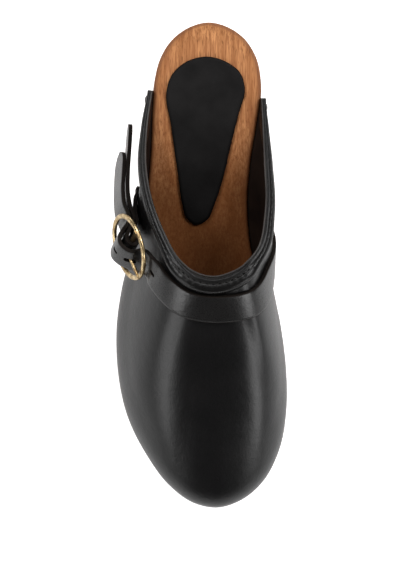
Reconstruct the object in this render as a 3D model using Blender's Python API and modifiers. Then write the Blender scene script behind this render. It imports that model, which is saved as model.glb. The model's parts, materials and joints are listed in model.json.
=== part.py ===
"""A heeled wooden clog for the right foot: carved wooden sole, nailed leather upper, instep strap and ring buckle.

Metres. +Z is up, the toe points along -Y, +X is the inner (medial) side and -X the outer (lateral) side. The origin
lies on the ground, in the middle of the heel's ground contact.
"""

import bpy
import bmesh
import numpy as np
from mathutils import Matrix, Vector

MM = 0.001
GAP = 0.3 * MM

# Sole
REBATE_DROP = 9.0 * MM       # height of the leather's seat below the footbed edge
REBATE_DEPTH = 3.0 * MM      # how far the forefoot's seat stands out under the leather
EDGE_ROUND = 1.2 * MM
HEEL_END = 21.5 * MM         # half length of the heel's ground contact
BREAST_Y = -35.0 * MM        # where the heel's front face meets the shank
HEEL_TAPER = 4.5 * MM        # the heel narrows this much a side towards the ground
FOREFOOT_TAPER = 1.2 * MM
HEEL_LIFT = 5.7 * MM
OUTSOLE = 3.7 * MM
OUTSOLE_BACK_Y = -94.0 * MM
HEEL_DISH = 1.6 * MM
PAD_THICKNESS = 1.6 * MM

# Upper, measured inwards from its outer surface, which stands UPPER_STAND outside the footbed's edge
UPPER_STAND = 3.4 * MM
UPPER_FOOT = 8.2 * MM        # the upper's lower edge lies this far below the footbed's edge
UPPER_SEAT = 7.0 * MM        # the upper stands straight against the sole's side this far up
VAMP_THICKNESS = 1.6 * MM
LINING_DEPTH = 2.0 * MM
LINING_THICKNESS = 0.7 * MM
PUFF_THICKNESS = 0.6 * MM
PUFF_REACH = 45.0 * MM       # the toe stiffener reaches this far along the sole's edge either side of the tip
PUFF_ROWS = slice(3, 7)      # and covers these rows of the upper's grid
BAND_SKIN = 0.7 * MM
PAD_AT_THROAT = 1.9 * MM
PAD_AT_WINGS = 0.5 * MM
COLLAR_REACH = 7.4 * MM      # the collar's outer edge lies this far down the upper
NAIL_CLEARANCE = 6.6 * MM    # and stays this far above the upper's lower edge, clear of the nails

# Straps and buckle
STRAP_WIDTH = 15.0 * MM
STRAP_THICKNESS = 2.0 * MM
STRAP_LIFT = 1.4 * MM        # from the upper's surface to the middle of a strap lying on it
HOLE_PITCH = 8.5 * MM
PRONG_HOLE = (5.4 * MM, 2.6 * MM)
SPARE_HOLE = (4.2 * MM, 1.8 * MM)
SLIT_DEPTH = 3.5 * MM
SLIT_TURN = Matrix.Rotation(np.radians(18), 4, "Z")
PRONG_HOLE_BACK = -6.6 * MM  # the hole in use, measured back from the bar
TAIL_START = 19.5 * MM       # the instep strap's free tail begins this far behind the bar
TAIL_GAP = 1.0 * MM
RING_RADIUS = 15.8 * MM
RING_WIRE = 1.25 * MM
BAR_RADIUS = 1.2 * MM
PRONG_WIRE = 0.9 * MM
PRONG_LOOP = 2.3 * MM
PRONG_REACH = 17.6 * MM
PRONG_SLOT = 1.5 * MM        # half width of the slot in the buckle strap's fold
BEND_WEIGHT = 7.0 * MM       # a radian of bend counts as this much length when a strap is divided
OUTLINE_BEND_WEIGHT = 45.0 * MM
BUCKLE_CENTRE = np.array((-38.9, -86.2, 71.8)) * MM
BUCKLE_OUT = np.array((-0.877, -0.231, 0.420))
BUCKLE_BACK = np.array((-0.390, 0.850, -0.350))

# Fasteners
NAIL_HEAD = 2.35 * MM
NAIL_DOME = 1.5 * MM
NAIL_STAND = 0.5 * MM        # clearance under a nail's head
NAIL_SHANK = 0.7 * MM
NAIL_LENGTH = 9.5 * MM
NAIL_RISE = 3.4 * MM         # nails stand this far above the upper's lower edge
NAIL_COUNT = 24
NAIL_MARGIN = 4.5 * MM       # from the upper's ends to the first and last nail
END_NAIL_PITCH = 7.5 * MM    # each wing's end has a second nail this far from its first
FOOT_NAIL_SPREAD = 4.0 * MM  # each strap's foot has a nail this far either side of its middle

# The footbed's edge seen from above, in millimetres: from the back of the heel round the outer side to the toe and
# back along the inner side.
FOOTBED_OUTLINE = [
    (0.5, 26.0), (-10.0, 23.0), (-17.8, 17.0), (-23.2, 8.5), (-26.2, -3.0), (-27.4, -18.0), (-28.2, -36.0),
    (-30.2, -58.0), (-34.0, -84.0), (-39.6, -108.0), (-42.3, -130.0), (-41.4, -150.0), (-36.8, -171.0),
    (-28.0, -189.0), (-16.0, -205.0), (-5.0, -212.8), (5.2, -214.8), (15.5, -211.5), (25.5, -203.0), (32.8, -189.0),
    (36.4, -170.0), (36.4, -150.0), (33.2, -127.0), (27.2, -105.0), (22.2, -84.0), (20.6, -64.0), (21.8, -44.0),
    (25.0, -24.0), (26.9, -5.0), (24.3, 9.0), (18.0, 18.5), (10.0, 23.8),
]
# Height of the footbed's edge along the foot: (y, z).
FOOTBED_HEIGHT = [
    (-218, 33.0), (-200, 30.0), (-175, 27.3), (-150, 26.5), (-130, 27.8), (-110, 32.0), (-90, 39.5), (-70, 49.3),
    (-50, 58.6), (-30, 65.2), (-10, 68.0), (10, 69.0), (30, 69.6),
]
# Underside of the wooden sole: (y, z).
UNDERSIDE_HEIGHT = [
    (-218, 15.5), (-205, 11.0), (-190, 7.4), (-175, 5.2), (-160, 4.0), (-124, 4.0), (-108, 7.0), (-92, 14.0),
    (-75, 23.5), (-58, 31.5), (BREAST_Y / MM, 36.5), (-HEEL_END / MM, 6.0), (30, 6.0),
]
# The glued leather pad on the heel seat.
PAD_OUTLINE = [
    (-0.6, 8.9), (-10.6, 6.2), (-17.6, -0.2), (-20.4, -9.0), (-18.2, -25.0), (-14.8, -49.0), (-12.6, -64.0),
    (-10.2, -71.6), (-5.6, -74.8), (-0.6, -72.8), (4.2, -63.5), (8.2, -51.0), (12.0, -35.0), (16.0, -19.0),
    (18.9, -7.4), (16.6, 0.6), (9.4, 6.4),
]
# Key ribs of the upper, from the outer wing's end over the toe to the inner wing's end. Each rib rises from the
# sole's edge to the topline as a cubic arc: side, y of its foot, topline point, rise and outward lean of the first
# handle, and the second handle's share of the way out to the foot, outward lean and drop.
KEY_RIBS = [
    (-1, -8, (-30.4, -8.0, 69.8), 1, 0.0, 0.00, 0.0, 1),
    (-1, -26, (-32.6, -26.0, 74.0), 3, 0.2, 0.00, 0.3, 3),
    (-1, -46, (-32.4, -45.0, 79.5), 6, 1.6, 0.00, 2.0, 7),
    (-1, -64, (-30.0, -61.0, 84.5), 9, 2.0, 0.00, 2.4, 11),
    (-1, -84, (-23.4, -79.5, 90.5), 12, 0.3, 0.10, 3.0, 16),
    (-1, -128, (-14.0, -95.2, 96.5), 20, 0.0, 0.38, 0.0, 18),
    (-1, -188, (-6.0, -101.6, 98.8), 26, 1.0, 0.47, 0.0, 30),
    (0, -218, (3.8, -103.6, 99.5), 22, 1.5, 0.44, 0.0, 38),
    (1, -188, (11.8, -101.6, 99.0), 26, 1.0, 0.47, 0.0, 30),
    (1, -140, (18.8, -97.2, 97.6), 28, 1.0, 0.47, 0.0, 16),
    (1, -100, (26.2, -88.5, 94.5), 16, 4.5, 0.00, 8.0, 18),
    (1, -74, (30.6, -69.0, 88.0), 11, 7.0, 0.00, 4.5, 12),
    (1, -48, (31.4, -44.0, 80.0), 7, 5.5, 0.00, 2.5, 7),
    (1, -27, (30.6, -26.0, 74.0), 3, 0.6, 0.00, 0.4, 3),
    (1, -12, (30.3, -12.0, 69.8), 1, 0.0, 0.00, 0.0, 1),
]

BUCKLE_OUT = BUCKLE_OUT / np.linalg.norm(BUCKLE_OUT)
BUCKLE_BACK = BUCKLE_BACK - BUCKLE_OUT * (BUCKLE_BACK @ BUCKLE_OUT)
BUCKLE_BACK = BUCKLE_BACK / np.linalg.norm(BUCKLE_BACK)
BUCKLE_DOWN = np.cross(BUCKLE_OUT, BUCKLE_BACK)


# ---------------------------------------------------------------- curves

def unit(v):
    return v / np.linalg.norm(v, axis=-1, keepdims=True)


def through(xs, values, x):
    """A smooth curve through the values given at xs, read at x."""
    xs = np.asarray(xs, float)
    values = np.asarray(values, float)
    x = np.asarray(x, float)
    slopes = np.gradient(values, xs, axis=0)
    i = np.clip(np.searchsorted(xs, x) - 1, 0, len(xs) - 2)
    h = xs[i + 1] - xs[i]
    t = (x - xs[i]) / h
    if values.ndim > 1:
        h = h[..., None]
        t = t[..., None]
    start = values[i] * (2 * t**3 - 3 * t**2 + 1) + slopes[i] * h * (t**3 - 2 * t**2 + t)
    return start + values[i + 1] * (3 * t**2 - 2 * t**3) + slopes[i + 1] * h * (t**3 - t**2)


def lengths(points):
    """Distance along a line of points, from its start."""
    steps = np.linalg.norm(np.diff(points, axis=0), axis=1)
    return np.concatenate([[0.0], np.cumsum(steps)])


def closed_curve(points, count=720):
    """A smooth closed curve through plan points in millimetres, with its outward normals and lengths, in metres."""
    points = np.asarray(points, float) * MM
    n = len(points)
    wrapped = np.concatenate([points[-3:], points, points[:4]])
    keys = lengths(wrapped)
    fine = through(keys, wrapped, np.linspace(keys[3], keys[n + 3], count + 1))
    tangent = unit(np.roll(fine[:-1], -1, axis=0) - np.roll(fine[:-1], 1, axis=0))
    tangent = np.concatenate([tangent, tangent[:1]])
    normal = np.stack([tangent[:, 1], -tangent[:, 0]], axis=1)
    return fine, normal, lengths(fine)


def smoothstep(x, start, end):
    t = np.clip((x - start) / (end - start), 0, 1)
    return t * t * (3 - 2 * t)


# ---------------------------------------------------------------- sole surfaces

OUTLINE, OUTLINE_NORMAL, OUTLINE_LENGTH = closed_curve(FOOTBED_OUTLINE)
SOLE_CURVE = (OUTLINE, OUTLINE_NORMAL, OUTLINE_LENGTH)
PAD_CURVE = closed_curve(PAD_OUTLINE)


def footbed_edge_z(y):
    keys = np.array(FOOTBED_HEIGHT) * MM
    return through(keys[:, 0], keys[:, 1], y)


def underside_z(y):
    keys = np.array(UNDERSIDE_HEIGHT) * MM
    front = keys[keys[:, 0] <= BREAST_Y]
    curved = through(front[:, 0], front[:, 1], np.minimum(y, BREAST_Y))
    curved = np.maximum(curved, front[:, 1].min())
    return np.where(y < BREAST_Y, curved, np.interp(y, keys[:, 0], keys[:, 1]))


def side_branches(curve):
    """The outer and inner sides of a closed curve, each running from its back end to its front end."""
    fine, normal, _ = curve
    back = int(np.argmax(fine[:-1, 1]))
    front = int(np.argmin(fine[:-1, 1]))
    n = len(fine) - 1
    outer = [(back + k) % n for k in range((front - back) % n + 1)]
    inner = [(back - k) % n for k in range((back - front) % n + 1)]
    return [(fine[i], normal[i]) for i in (outer, inner)]


def plan_grid(curve, ys, offset, columns):
    """Rows of plan points across a closed curve at each y, the curve being grown by offset (a number or f(y))."""
    edges = []
    for points, normals in side_branches(curve):
        order = np.argsort(points[:, 1])
        xy = np.stack([np.interp(ys, points[order, 1], points[order, 0]), ys], axis=1)
        n = np.stack([np.interp(ys, points[order, 1], normals[order, k]) for k in range(2)], axis=1)
        grow = offset(ys) if callable(offset) else np.full(len(ys), offset)
        edges.append(xy + unit(n) * grow[:, None])
    share = np.linspace(0, 1, columns)[None, :, None]
    return edges[0][:, None, :] * (1 - share) + edges[1][:, None, :] * share


def with_height(grid, z):
    heights = z(grid) if callable(z) else np.full(grid.shape[:2], z)
    return np.concatenate([grid, heights[..., None]], axis=2)


def dish_depth(y, width):
    """Depth of the shallow dish along the heel seat's middle, fading out where the seat is narrow."""
    return HEEL_DISH * smoothstep(y, -110 * MM, -30 * MM) * smoothstep(width, 0.0, 40 * MM)


def footbed_z(grid):
    across = np.linspace(-1, 1, grid.shape[1])[None, :]
    width = (grid[:, -1, 0] - grid[:, 0, 0])[:, None]
    return footbed_edge_z(grid[..., 1]) - dish_depth(grid[..., 1], width) * (1 - across**2)


def footbed_point_z(x, y):
    """Height of the footbed's surface above a plan point."""
    row = plan_grid(SOLE_CURVE, np.array([y]), -EDGE_ROUND, 2)[0]
    width = row[1, 0] - row[0, 0]
    across = 2 * (x - row[0, 0]) / width - 1
    return float(footbed_edge_z(y) - dish_depth(y, width) * (1 - across**2))


def row_positions(start, end, count, breaks=()):
    """Row places between two y values, closer together near both ends, with extra rows at the breaks."""
    cosine = (1 - np.cos(np.linspace(0, np.pi, count))) / 2
    rows = list(start + (end - start) * cosine)
    for place in breaks:
        nearest = int(np.argmin([abs(r - place) for r in rows]))
        rows[nearest] = place
    return np.array(sorted(rows, reverse=bool(start > end)))


# ---------------------------------------------------------------- mesh helpers

COLLECTION = bpy.data.collections.new("wooden_clog")
CUTTERS = bpy.data.collections.new("cutters")


def material(name, colour, roughness, metallic=0.0):
    made = bpy.data.materials.new(name)
    made.use_nodes = True
    shader = made.node_tree.nodes["Principled BSDF"]
    shader.inputs["Base Color"].default_value = (*colour, 1.0)
    shader.inputs["Roughness"].default_value = roughness
    shader.inputs["Metallic"].default_value = metallic
    return made


def mesh_object(name, vertices, faces, look):
    mesh = bpy.data.meshes.new(name)
    mesh.from_pydata([tuple(v) for v in vertices], [], faces)
    bm = bmesh.new()
    bm.from_mesh(mesh)
    bmesh.ops.remove_doubles(bm, verts=bm.verts, dist=1e-6)
    bmesh.ops.recalc_face_normals(bm, faces=bm.faces)
    bm.to_mesh(mesh)
    bm.free()
    mesh.shade_smooth()
    mesh.set_sharp_from_angle(angle=np.radians(35))
    mesh.materials.append(look)
    made = bpy.data.objects.new(name, mesh)
    COLLECTION.objects.link(made)
    return made


def grid_faces(rows, columns, first=0):
    faces = []
    for i in range(rows - 1):
        for j in range(columns - 1):
            a = first + i * columns + j
            faces.append((a, a + 1, a + columns + 1, a + columns))
    return faces


def border(rows, columns):
    """Indices round the edge of a grid."""
    top = [j for j in range(columns)]
    right = [i * columns + columns - 1 for i in range(1, rows)]
    bottom = [(rows - 1) * columns + j for j in range(columns - 2, -1, -1)]
    left = [i * columns for i in range(rows - 2, 0, -1)]
    return top + right + bottom + left


def stacked_solid(name, levels, look):
    """A closed solid from grids of equal size: the first is its top, the last its bottom, the rest pass round it."""
    rows, columns = levels[0].shape[:2]
    ring = border(rows, columns)
    vertices = [p for level in levels for p in level.reshape(-1, 3)]
    size = rows * columns
    faces = grid_faces(rows, columns)
    faces += [tuple(reversed(f)) for f in grid_faces(rows, columns, size * (len(levels) - 1))]
    for k in range(len(levels) - 1):
        for a, b in zip(ring, ring[1:] + ring[:1]):
            faces.append((a + size * k, b + size * k, b + size * (k + 1), a + size * (k + 1)))
    made = mesh_object(name, vertices, faces, look)
    bm = bmesh.new()
    bm.from_mesh(made.data)
    bmesh.ops.delete(bm, geom=[v for v in bm.verts if not v.link_faces], context="VERTS")
    bm.to_mesh(made.data)
    bm.free()
    return made


def swept_solid(name, sections, look):
    """A closed solid from a line of equal closed sections, capped at both ends."""
    count, size = sections.shape[:2]
    faces = []
    for i in range(count - 1):
        for j in range(size):
            k = (j + 1) % size
            faces.append((i * size + j, i * size + k, (i + 1) * size + k, (i + 1) * size + j))
    faces.append(tuple(range(size - 1, -1, -1)))
    faces.append(tuple(range((count - 1) * size, count * size)))
    return mesh_object(name, sections.reshape(-1, 3), faces, look)


def cutter_object(name, build):
    """An unrendered tool for Booleans; build adds its primitives to an empty bmesh."""
    mesh = bpy.data.meshes.new(name)
    bm = bmesh.new()
    build(bm)
    bmesh.ops.recalc_face_normals(bm, faces=bm.faces)
    bm.to_mesh(mesh)
    bm.free()
    made = bpy.data.objects.new(name, mesh)
    CUTTERS.objects.link(made)
    made.hide_render = True
    made.display_type = "WIRE"
    return made


def add_cylinder(bm, radius, low, high, segments, matrix):
    """A capped cylinder along the matrix's +Z axis, added to bm; gives its vertices."""
    middle = matrix @ Matrix.Translation((0, 0, (low + high) / 2))
    made = bmesh.ops.create_cone(
        bm, cap_ends=True, segments=segments, radius1=radius, radius2=radius, depth=high - low, matrix=middle)
    return made["verts"]


def cut(target, tool, operation="DIFFERENCE"):
    modifier = target.modifiers.new(tool.name, "BOOLEAN")
    modifier.operation = operation
    modifier.solver = "EXACT"
    modifier.object = tool


def facing(origin, z_axis, x_hint):
    """A matrix at origin with +Z along z_axis and +X near x_hint."""
    z = Vector(z_axis).normalized()
    x = Vector(x_hint)
    x = (x - z * x.dot(z)).normalized()
    y = z.cross(x)
    made = Matrix((x, y, z)).transposed().to_4x4()
    made.translation = Vector(origin)
    return made


def turned_object(name, profile, steps, matrix, look=None, collection=None):
    """A profile of (radius, height), from top to bottom and ending on the axis, turned about +Z and placed."""
    mesh = bpy.data.meshes.new(name)
    mesh.from_pydata([(r, 0, h) for r, h in profile], [(k, k + 1) for k in range(len(profile) - 1)], [])
    made = bpy.data.objects.new(name, mesh)
    (collection or COLLECTION).objects.link(made)
    screw = made.modifiers.new("turn", "SCREW")
    screw.steps = steps
    screw.render_steps = steps
    screw.use_merge_vertices = True
    screw.merge_threshold = 1e-5
    screw.use_smooth_shade = False
    made.matrix_world = matrix
    if look:
        mesh.materials.append(look)
    return made


# ---------------------------------------------------------------- upper surface

def outline_place(side, y):
    """Length along the footbed outline of the point on one side at y; side 0 is the toe's tip."""
    front = int(np.argmin(OUTLINE[:-1, 1]))
    if side == 0:
        return OUTLINE_LENGTH[front]
    part = slice(0, front) if side < 0 else slice(front, len(OUTLINE))
    nearest = int(np.argmin(np.abs(OUTLINE[part, 1] - y * MM)))
    return OUTLINE_LENGTH[part][nearest]


RIB_PLACES = np.array([outline_place(rib[0], rib[1]) for rib in KEY_RIBS])
RIB_TOPS = np.array([rib[2] for rib in KEY_RIBS]) * MM
RIB_SHAPES = np.array([rib[3:] for rib in KEY_RIBS]) * np.array((MM, MM, 1, MM, MM))
RIB_STEPS = np.linspace(0, 1, 49)


def rib(place):
    """Points of the upper's outer surface from the topline down to the sole, at a length along the outline."""
    foot = np.array([np.interp(place, OUTLINE_LENGTH, OUTLINE[:, k]) for k in range(2)])
    normal = unit(np.array([np.interp(place, OUTLINE_LENGTH, OUTLINE_NORMAL[:, k]) for k in range(2)]))
    seat = np.array([*(foot + normal * UPPER_STAND), footbed_edge_z(foot[1]) - UPPER_FOOT + UPPER_SEAT])
    top = through(RIB_PLACES, RIB_TOPS, place)
    rise, lean, share, top_lean, drop = through(RIB_PLACES, RIB_SHAPES, place)
    out = np.array([*normal, 0.0])
    way = np.array([*(seat - top)[:2], 0.0])
    first = seat + out * lean + np.array([0, 0, rise])
    second = top + way * share + out * top_lean - np.array([0, 0, drop])
    t = RIB_STEPS[:, None]
    arc = (1 - t) ** 3 * top + 3 * (1 - t) ** 2 * t * second + 3 * (1 - t) * t**2 * first + t**3 * seat
    down = np.linspace(0, UPPER_SEAT, 7)[1:, None]
    return np.concatenate([arc, seat - down * np.array([0, 0, 1])])


def rib_length(place):
    return lengths(rib(place))[-1]


def upper_places(count):
    """Places along the upper from one wing's end to the other, closer together where the outline bends."""
    turning = np.concatenate([[0.0], np.linalg.norm(np.diff(OUTLINE_NORMAL, axis=0), axis=1)])
    cost = OUTLINE_LENGTH + np.cumsum(turning) * OUTLINE_BEND_WEIGHT
    first, last = np.interp(RIB_PLACES[[0, -1]], OUTLINE_LENGTH, cost)
    return np.interp(np.linspace(first, last, count), cost, OUTLINE_LENGTH)


UPPER_PLACES = upper_places(39)


def on_rib(points, down):
    """Points at distances down a rib; negative distances run on past the topline."""
    along = lengths(points)
    down = np.atleast_1d(down)
    found = np.stack([np.interp(down, along, points[:, k]) for k in range(3)], axis=1)
    start = unit(points[1] - points[0])
    return found + start * np.minimum(down, 0)[:, None]


def upper_points(place, down, out):
    """Points at distances down from the topline and out from the upper's outer surface, with the surface normals."""
    step = 0.4 * MM
    down = np.atleast_1d(np.asarray(down, float))
    here = rib(place)
    nxt = on_rib(rib(place + step), down)
    prv = on_rib(rib(place - step), down)
    lower = on_rib(here, down + step)
    upper = on_rib(here, down - step)
    normal = unit(np.cross(nxt - prv, upper - lower))
    centre = on_rib(here, down)
    return centre + normal * np.atleast_1d(out)[:, None], normal


def upper_rows(place):
    """Distances down a rib: the topline, below the collar, five more to the top of the straight seat, and the foot."""
    length = rib_length(place)
    seat = length - UPPER_SEAT
    collar = GAP + min(COLLAR_REACH, 0.5 * (seat - GAP))
    return np.array([GAP, *np.linspace(collar, seat, 7), length])


def upper_grid(places, depth, rows=slice(None)):
    """A grid on the upper at a depth below its outer surface."""
    grid = []
    for place in places:
        down = upper_rows(place)[rows]
        inward = depth(place, down) if callable(depth) else np.full(len(down), depth)
        grid.append(upper_points(place, down, -inward)[0])
    return np.array(grid)


def shell(name, grid, thickness, look):
    """An open grid thickened inwards."""
    rows, columns = grid.shape[:2]
    mesh = bpy.data.meshes.new(name)
    mesh.from_pydata([tuple(p) for p in grid.reshape(-1, 3)], [], grid_faces(rows, columns))
    mesh.shade_smooth()
    made = bpy.data.objects.new(name, mesh)
    COLLECTION.objects.link(made)
    mesh.materials.append(look)
    solidify = made.modifiers.new("thickness", "SOLIDIFY")
    solidify.thickness = thickness
    solidify.offset = -1.0
    return made


def puff_share(place, down):
    """1 over the toe, where the stiffener lies under the vamp, and 0 elsewhere."""
    sideways = 1 - smoothstep(abs(place - RIB_PLACES[7]), PUFF_REACH, 1.4 * PUFF_REACH)
    share = down / rib_length(place)
    return sideways * smoothstep(share, 0.22, 0.36) * (1 - smoothstep(share, 0.90, 0.94))


def lining_depth(place, down):
    return LINING_DEPTH + (PUFF_THICKNESS + GAP) * puff_share(place, down)


# ---------------------------------------------------------------- sole parts

def base_offset(ys):
    return GAP + (REBATE_DEPTH - GAP) * (1 - smoothstep(ys, -100 * MM, -60 * MM))


def bottom_offset(ys):
    taper = FOREFOOT_TAPER + (HEEL_TAPER - FOREFOOT_TAPER) * smoothstep(ys, -110 * MM, -30 * MM)
    return base_offset(ys) - taper


def wooden_sole(look):
    start = OUTLINE[:, 1].max()
    end = OUTLINE[:, 1].min()
    rows = row_positions(start, end, 36, (-HEEL_END, BREAST_Y, -58 * MM, -124 * MM, -160 * MM))
    columns = 5

    def level(offset, z):
        return with_height(plan_grid(SOLE_CURVE, rows, offset, columns), z)

    levels = [
        level(-EDGE_ROUND, footbed_z),
        level(0.0, lambda g: footbed_edge_z(g[..., 1]) - EDGE_ROUND),
        level(0.0, lambda g: footbed_edge_z(g[..., 1]) - REBATE_DROP),
        level(base_offset, lambda g: footbed_edge_z(g[..., 1]) - REBATE_DROP),
        level(lambda ys: bottom_offset(ys) + 0.2 * MM, lambda g: underside_z(g[..., 1]) + EDGE_ROUND),
        level(lambda ys: bottom_offset(ys) - EDGE_ROUND, lambda g: underside_z(g[..., 1])),
    ]
    return stacked_solid("wooden_sole", levels, look)


def forefoot_outsole(look):
    end = OUTLINE[:, 1].min()
    rows = row_positions(OUTSOLE_BACK_Y, end, 20, (-124 * MM, -160 * MM))
    grid = plan_grid(SOLE_CURVE, rows, lambda ys: bottom_offset(ys) - 0.2 * MM, 5)
    thickness = OUTSOLE - 2.3 * MM * smoothstep(rows, -118 * MM, OUTSOLE_BACK_Y)[:, None]
    top = with_height(grid, lambda g: underside_z(g[..., 1]) - GAP)
    bottom = with_height(grid, lambda g: underside_z(g[..., 1]) - GAP - thickness)
    return stacked_solid("forefoot_outsole", [top, bottom], look)


def heel_lift(look):
    rows = row_positions(OUTLINE[:, 1].max(), -HEEL_END, 14)
    grid = plan_grid(SOLE_CURVE, rows, lambda ys: bottom_offset(ys) - 0.2 * MM, 5)
    return stacked_solid("heel_lift", [with_height(grid, HEEL_LIFT), with_height(grid, 0.0)], look)


def heel_pad(look):
    fine = PAD_CURVE[0]
    rows = row_positions(fine[:, 1].max(), fine[:, 1].min(), 17)

    def over_footbed(height):
        def z(grid):
            return np.array([[footbed_point_z(x, y) + height for x, y in row] for row in grid])
        return z

    levels = [
        with_height(plan_grid(PAD_CURVE, rows, -0.8 * MM, 5), over_footbed(GAP + PAD_THICKNESS)),
        with_height(plan_grid(PAD_CURVE, rows, 0.0, 5), over_footbed(GAP + PAD_THICKNESS * 0.6)),
        with_height(plan_grid(PAD_CURVE, rows, 0.0, 5), over_footbed(GAP)),
    ]
    return stacked_solid("heel_pad", levels, look)


def heel_nails(look, lift, sole):
    """Four nails from below that hold the rubber top piece to the wooden heel."""
    head = 2.4 * MM
    shank = 1.1 * MM
    recess = 0.6 * MM
    head_height = 1.4 * MM
    length = 20 * MM
    profile = [
        (0, length), (shank, length), (shank, recess + head_height), (head, recess + 0.5 * MM), (head, recess),
        (0, recess),
    ]
    hole = [
        (0, length + GAP), (shank + GAP, length + GAP), (shank + GAP, recess + head_height + GAP),
        (head + GAP, recess + 0.5 * MM + GAP), (head + GAP, -1 * MM), (0, -1 * MM),
    ]
    for k, (x, y) in enumerate([(-11, -13), (11, -13), (-9.5, 8), (9.5, 8)]):
        place = Matrix.Translation((x * MM, y * MM, 0))
        turned_object(f"heel_nail_{k + 1}", profile, 10, place, look)
        tool = turned_object(f"heel_nail_hole_{k + 1}", hole, 10, place, collection=CUTTERS)
        tool.hide_render = True
        tool.display_type = "WIRE"
        cut(lift, tool)
        cut(sole, tool)


# ---------------------------------------------------------------- upper parts

def vamp(look):
    return shell("vamp", upper_grid(UPPER_PLACES, 0.0), VAMP_THICKNESS, look)


def upper_lining(look):
    return shell("upper_lining", upper_grid(UPPER_PLACES, lining_depth), LINING_THICKNESS, look)


def toe_puff(look):
    places = [place for place in UPPER_PLACES if puff_share(place, 0.5 * rib_length(place)) > 0.99]
    return shell("toe_puff", upper_grid(places, LINING_DEPTH, PUFF_ROWS), PUFF_THICKNESS, look)


def collar_padding(place):
    """Thickness of the collar's padding: fullest at the throat, thin at the wings' ends."""
    middle = RIB_PLACES[7]
    share = np.abs(place - middle) / (RIB_PLACES[-1] - middle)
    return PAD_AT_THROAT + (PAD_AT_WINGS - PAD_AT_THROAT) * smoothstep(share, 0.35, 0.95)


def band_section(pad):
    """Middle line of the collar's leather binding: (down, out) from the topline."""
    inside = -(LINING_DEPTH + LINING_THICKNESS + 3 * GAP + BAND_SKIN / 2) / MM
    outside = (GAP + BAND_SKIN / 2) / MM
    p = pad / MM
    return np.array([
        (5.0, inside), (0.3, inside), (-1.0, inside + 0.8), (-1.1, -0.7), (0.2, outside + 0.25 * p),
        (1.6, outside + 0.45 + 0.75 * p), (3.5, outside + 0.5 + p), (5.4, outside + 0.45 + 0.75 * p), (7.4, outside),
    ]) * MM


def foam_section(pad):
    p = pad / MM
    return np.array([
        (1.2, 0.6), (1.4, 0.65 + 0.2 * p), (2.2, 0.65 + 0.45 * p), (3.5, 0.65 + 0.65 * p), (4.8, 0.65 + 0.45 * p),
        (5.7, 0.65 + 0.1 * p), (5.9, 0.6),
    ]) * MM


def offset_line(line, amount):
    direction = unit(np.gradient(line, axis=0))
    return line + np.stack([-direction[:, 1], direction[:, 0]], axis=1) * amount


def collar_sweep(name, section, look):
    sections = []
    for place in UPPER_PLACES:
        outline = section(collar_padding(place))
        room = (rib_length(place) - NAIL_CLEARANCE) / COLLAR_REACH
        down = outline[:, 0] * np.where(outline[:, 0] > 0, np.clip(room, 0.25, 1), 1)
        sections.append(upper_points(place, down, outline[:, 1])[0])
    return swept_solid(name, np.array(sections), look)


def collar_band(look):
    def closed(pad):
        line = band_section(pad)
        return np.concatenate([offset_line(line, BAND_SKIN / 2), offset_line(line, -BAND_SKIN / 2)[::-1]])
    return collar_sweep("collar_band", closed, look)


def collar_foam(look):
    return collar_sweep("collar_foam", foam_section, look)


def nail_matrix(place, out=0.0):
    down = rib_length(place) - NAIL_RISE
    point, normal = upper_points(place, down, out)
    return facing(point[0], normal[0], (0, 0, 1))


def nail_profile(length):
    top = NAIL_STAND + NAIL_DOME
    return [
        (0, top), (NAIL_HEAD * 0.42, top), (NAIL_HEAD * 0.85, NAIL_STAND + NAIL_DOME * 0.6), (NAIL_HEAD, NAIL_STAND),
        (NAIL_SHANK, NAIL_STAND), (NAIL_SHANK * 0.6, -length), (0, -length),
    ]


def drive_nails(name, places, out, look, targets):
    """Domed nails square to the upper's surface, standing out from it, with clearance holes in what they pass."""
    length = NAIL_LENGTH + out
    matrices = [nail_matrix(place, out) for place in places]
    for k, matrix in enumerate(matrices):
        turned_object(f"{name}_{k + 1:02d}", nail_profile(length), 7, matrix, look)

    def holes(bm):
        for matrix in matrices:
            add_cylinder(bm, NAIL_SHANK + GAP, -length - GAP, 1 * MM, 6, matrix)

    tool = cutter_object(f"{name}_holes", holes)
    for target in targets:
        cut(target, tool)


def upper_nail_places():
    """Even places round the sole's edge, doubled at the wings' ends, none under the straps' feet."""
    first = RIB_PLACES[0] + NAIL_MARGIN
    last = RIB_PLACES[-1] - NAIL_MARGIN
    even = np.sort([*np.linspace(first, last, NAIL_COUNT), first + END_NAIL_PITCH, last - END_NAIL_PITCH])
    clear = STRAP_WIDTH / 2 + NAIL_HEAD
    return [place for place in even if min(abs(place - INSTEP_FOOT), abs(place - BUCKLE_FOOT)) > clear]


def foot_nail_places(foot):
    return [foot - FOOT_NAIL_SPREAD, foot + FOOT_NAIL_SPREAD]


# ---------------------------------------------------------------- straps and buckle

def buckle_point(back, down, out):
    """A point in the buckle's own frame: millimetres back along the strap, down the bar and out from the ring."""
    return BUCKLE_CENTRE + (BUCKLE_BACK * back + BUCKLE_DOWN * down + BUCKLE_OUT * out) * MM


def ribbon(name, centres, across, look, tip=0, width=STRAP_WIDTH, thickness=STRAP_THICKNESS):
    """A flat strap along its centres, with its width along across; the last tip points narrow to a rounded end."""
    tangent = unit(np.gradient(centres, axis=0))
    across = unit(across - tangent * np.sum(across * tangent, axis=1, keepdims=True))
    normal = np.cross(tangent, across)
    half = np.full(len(centres), width / 2)
    if tip:
        along = lengths(centres)
        left = along[-1] - along[-tip:]
        half[-tip:] = width / 2 * np.sqrt(np.clip(1 - (1 - left / left[0]) ** 2, 0.02, 1))
    h = half[:, None]
    t = thickness / 2
    sections = np.stack([
        centres + across * h + normal * t, centres + across * h - normal * t,
        centres - across * h - normal * t, centres - across * h + normal * t,
    ], axis=1)
    return swept_solid(name, sections, look)


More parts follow.
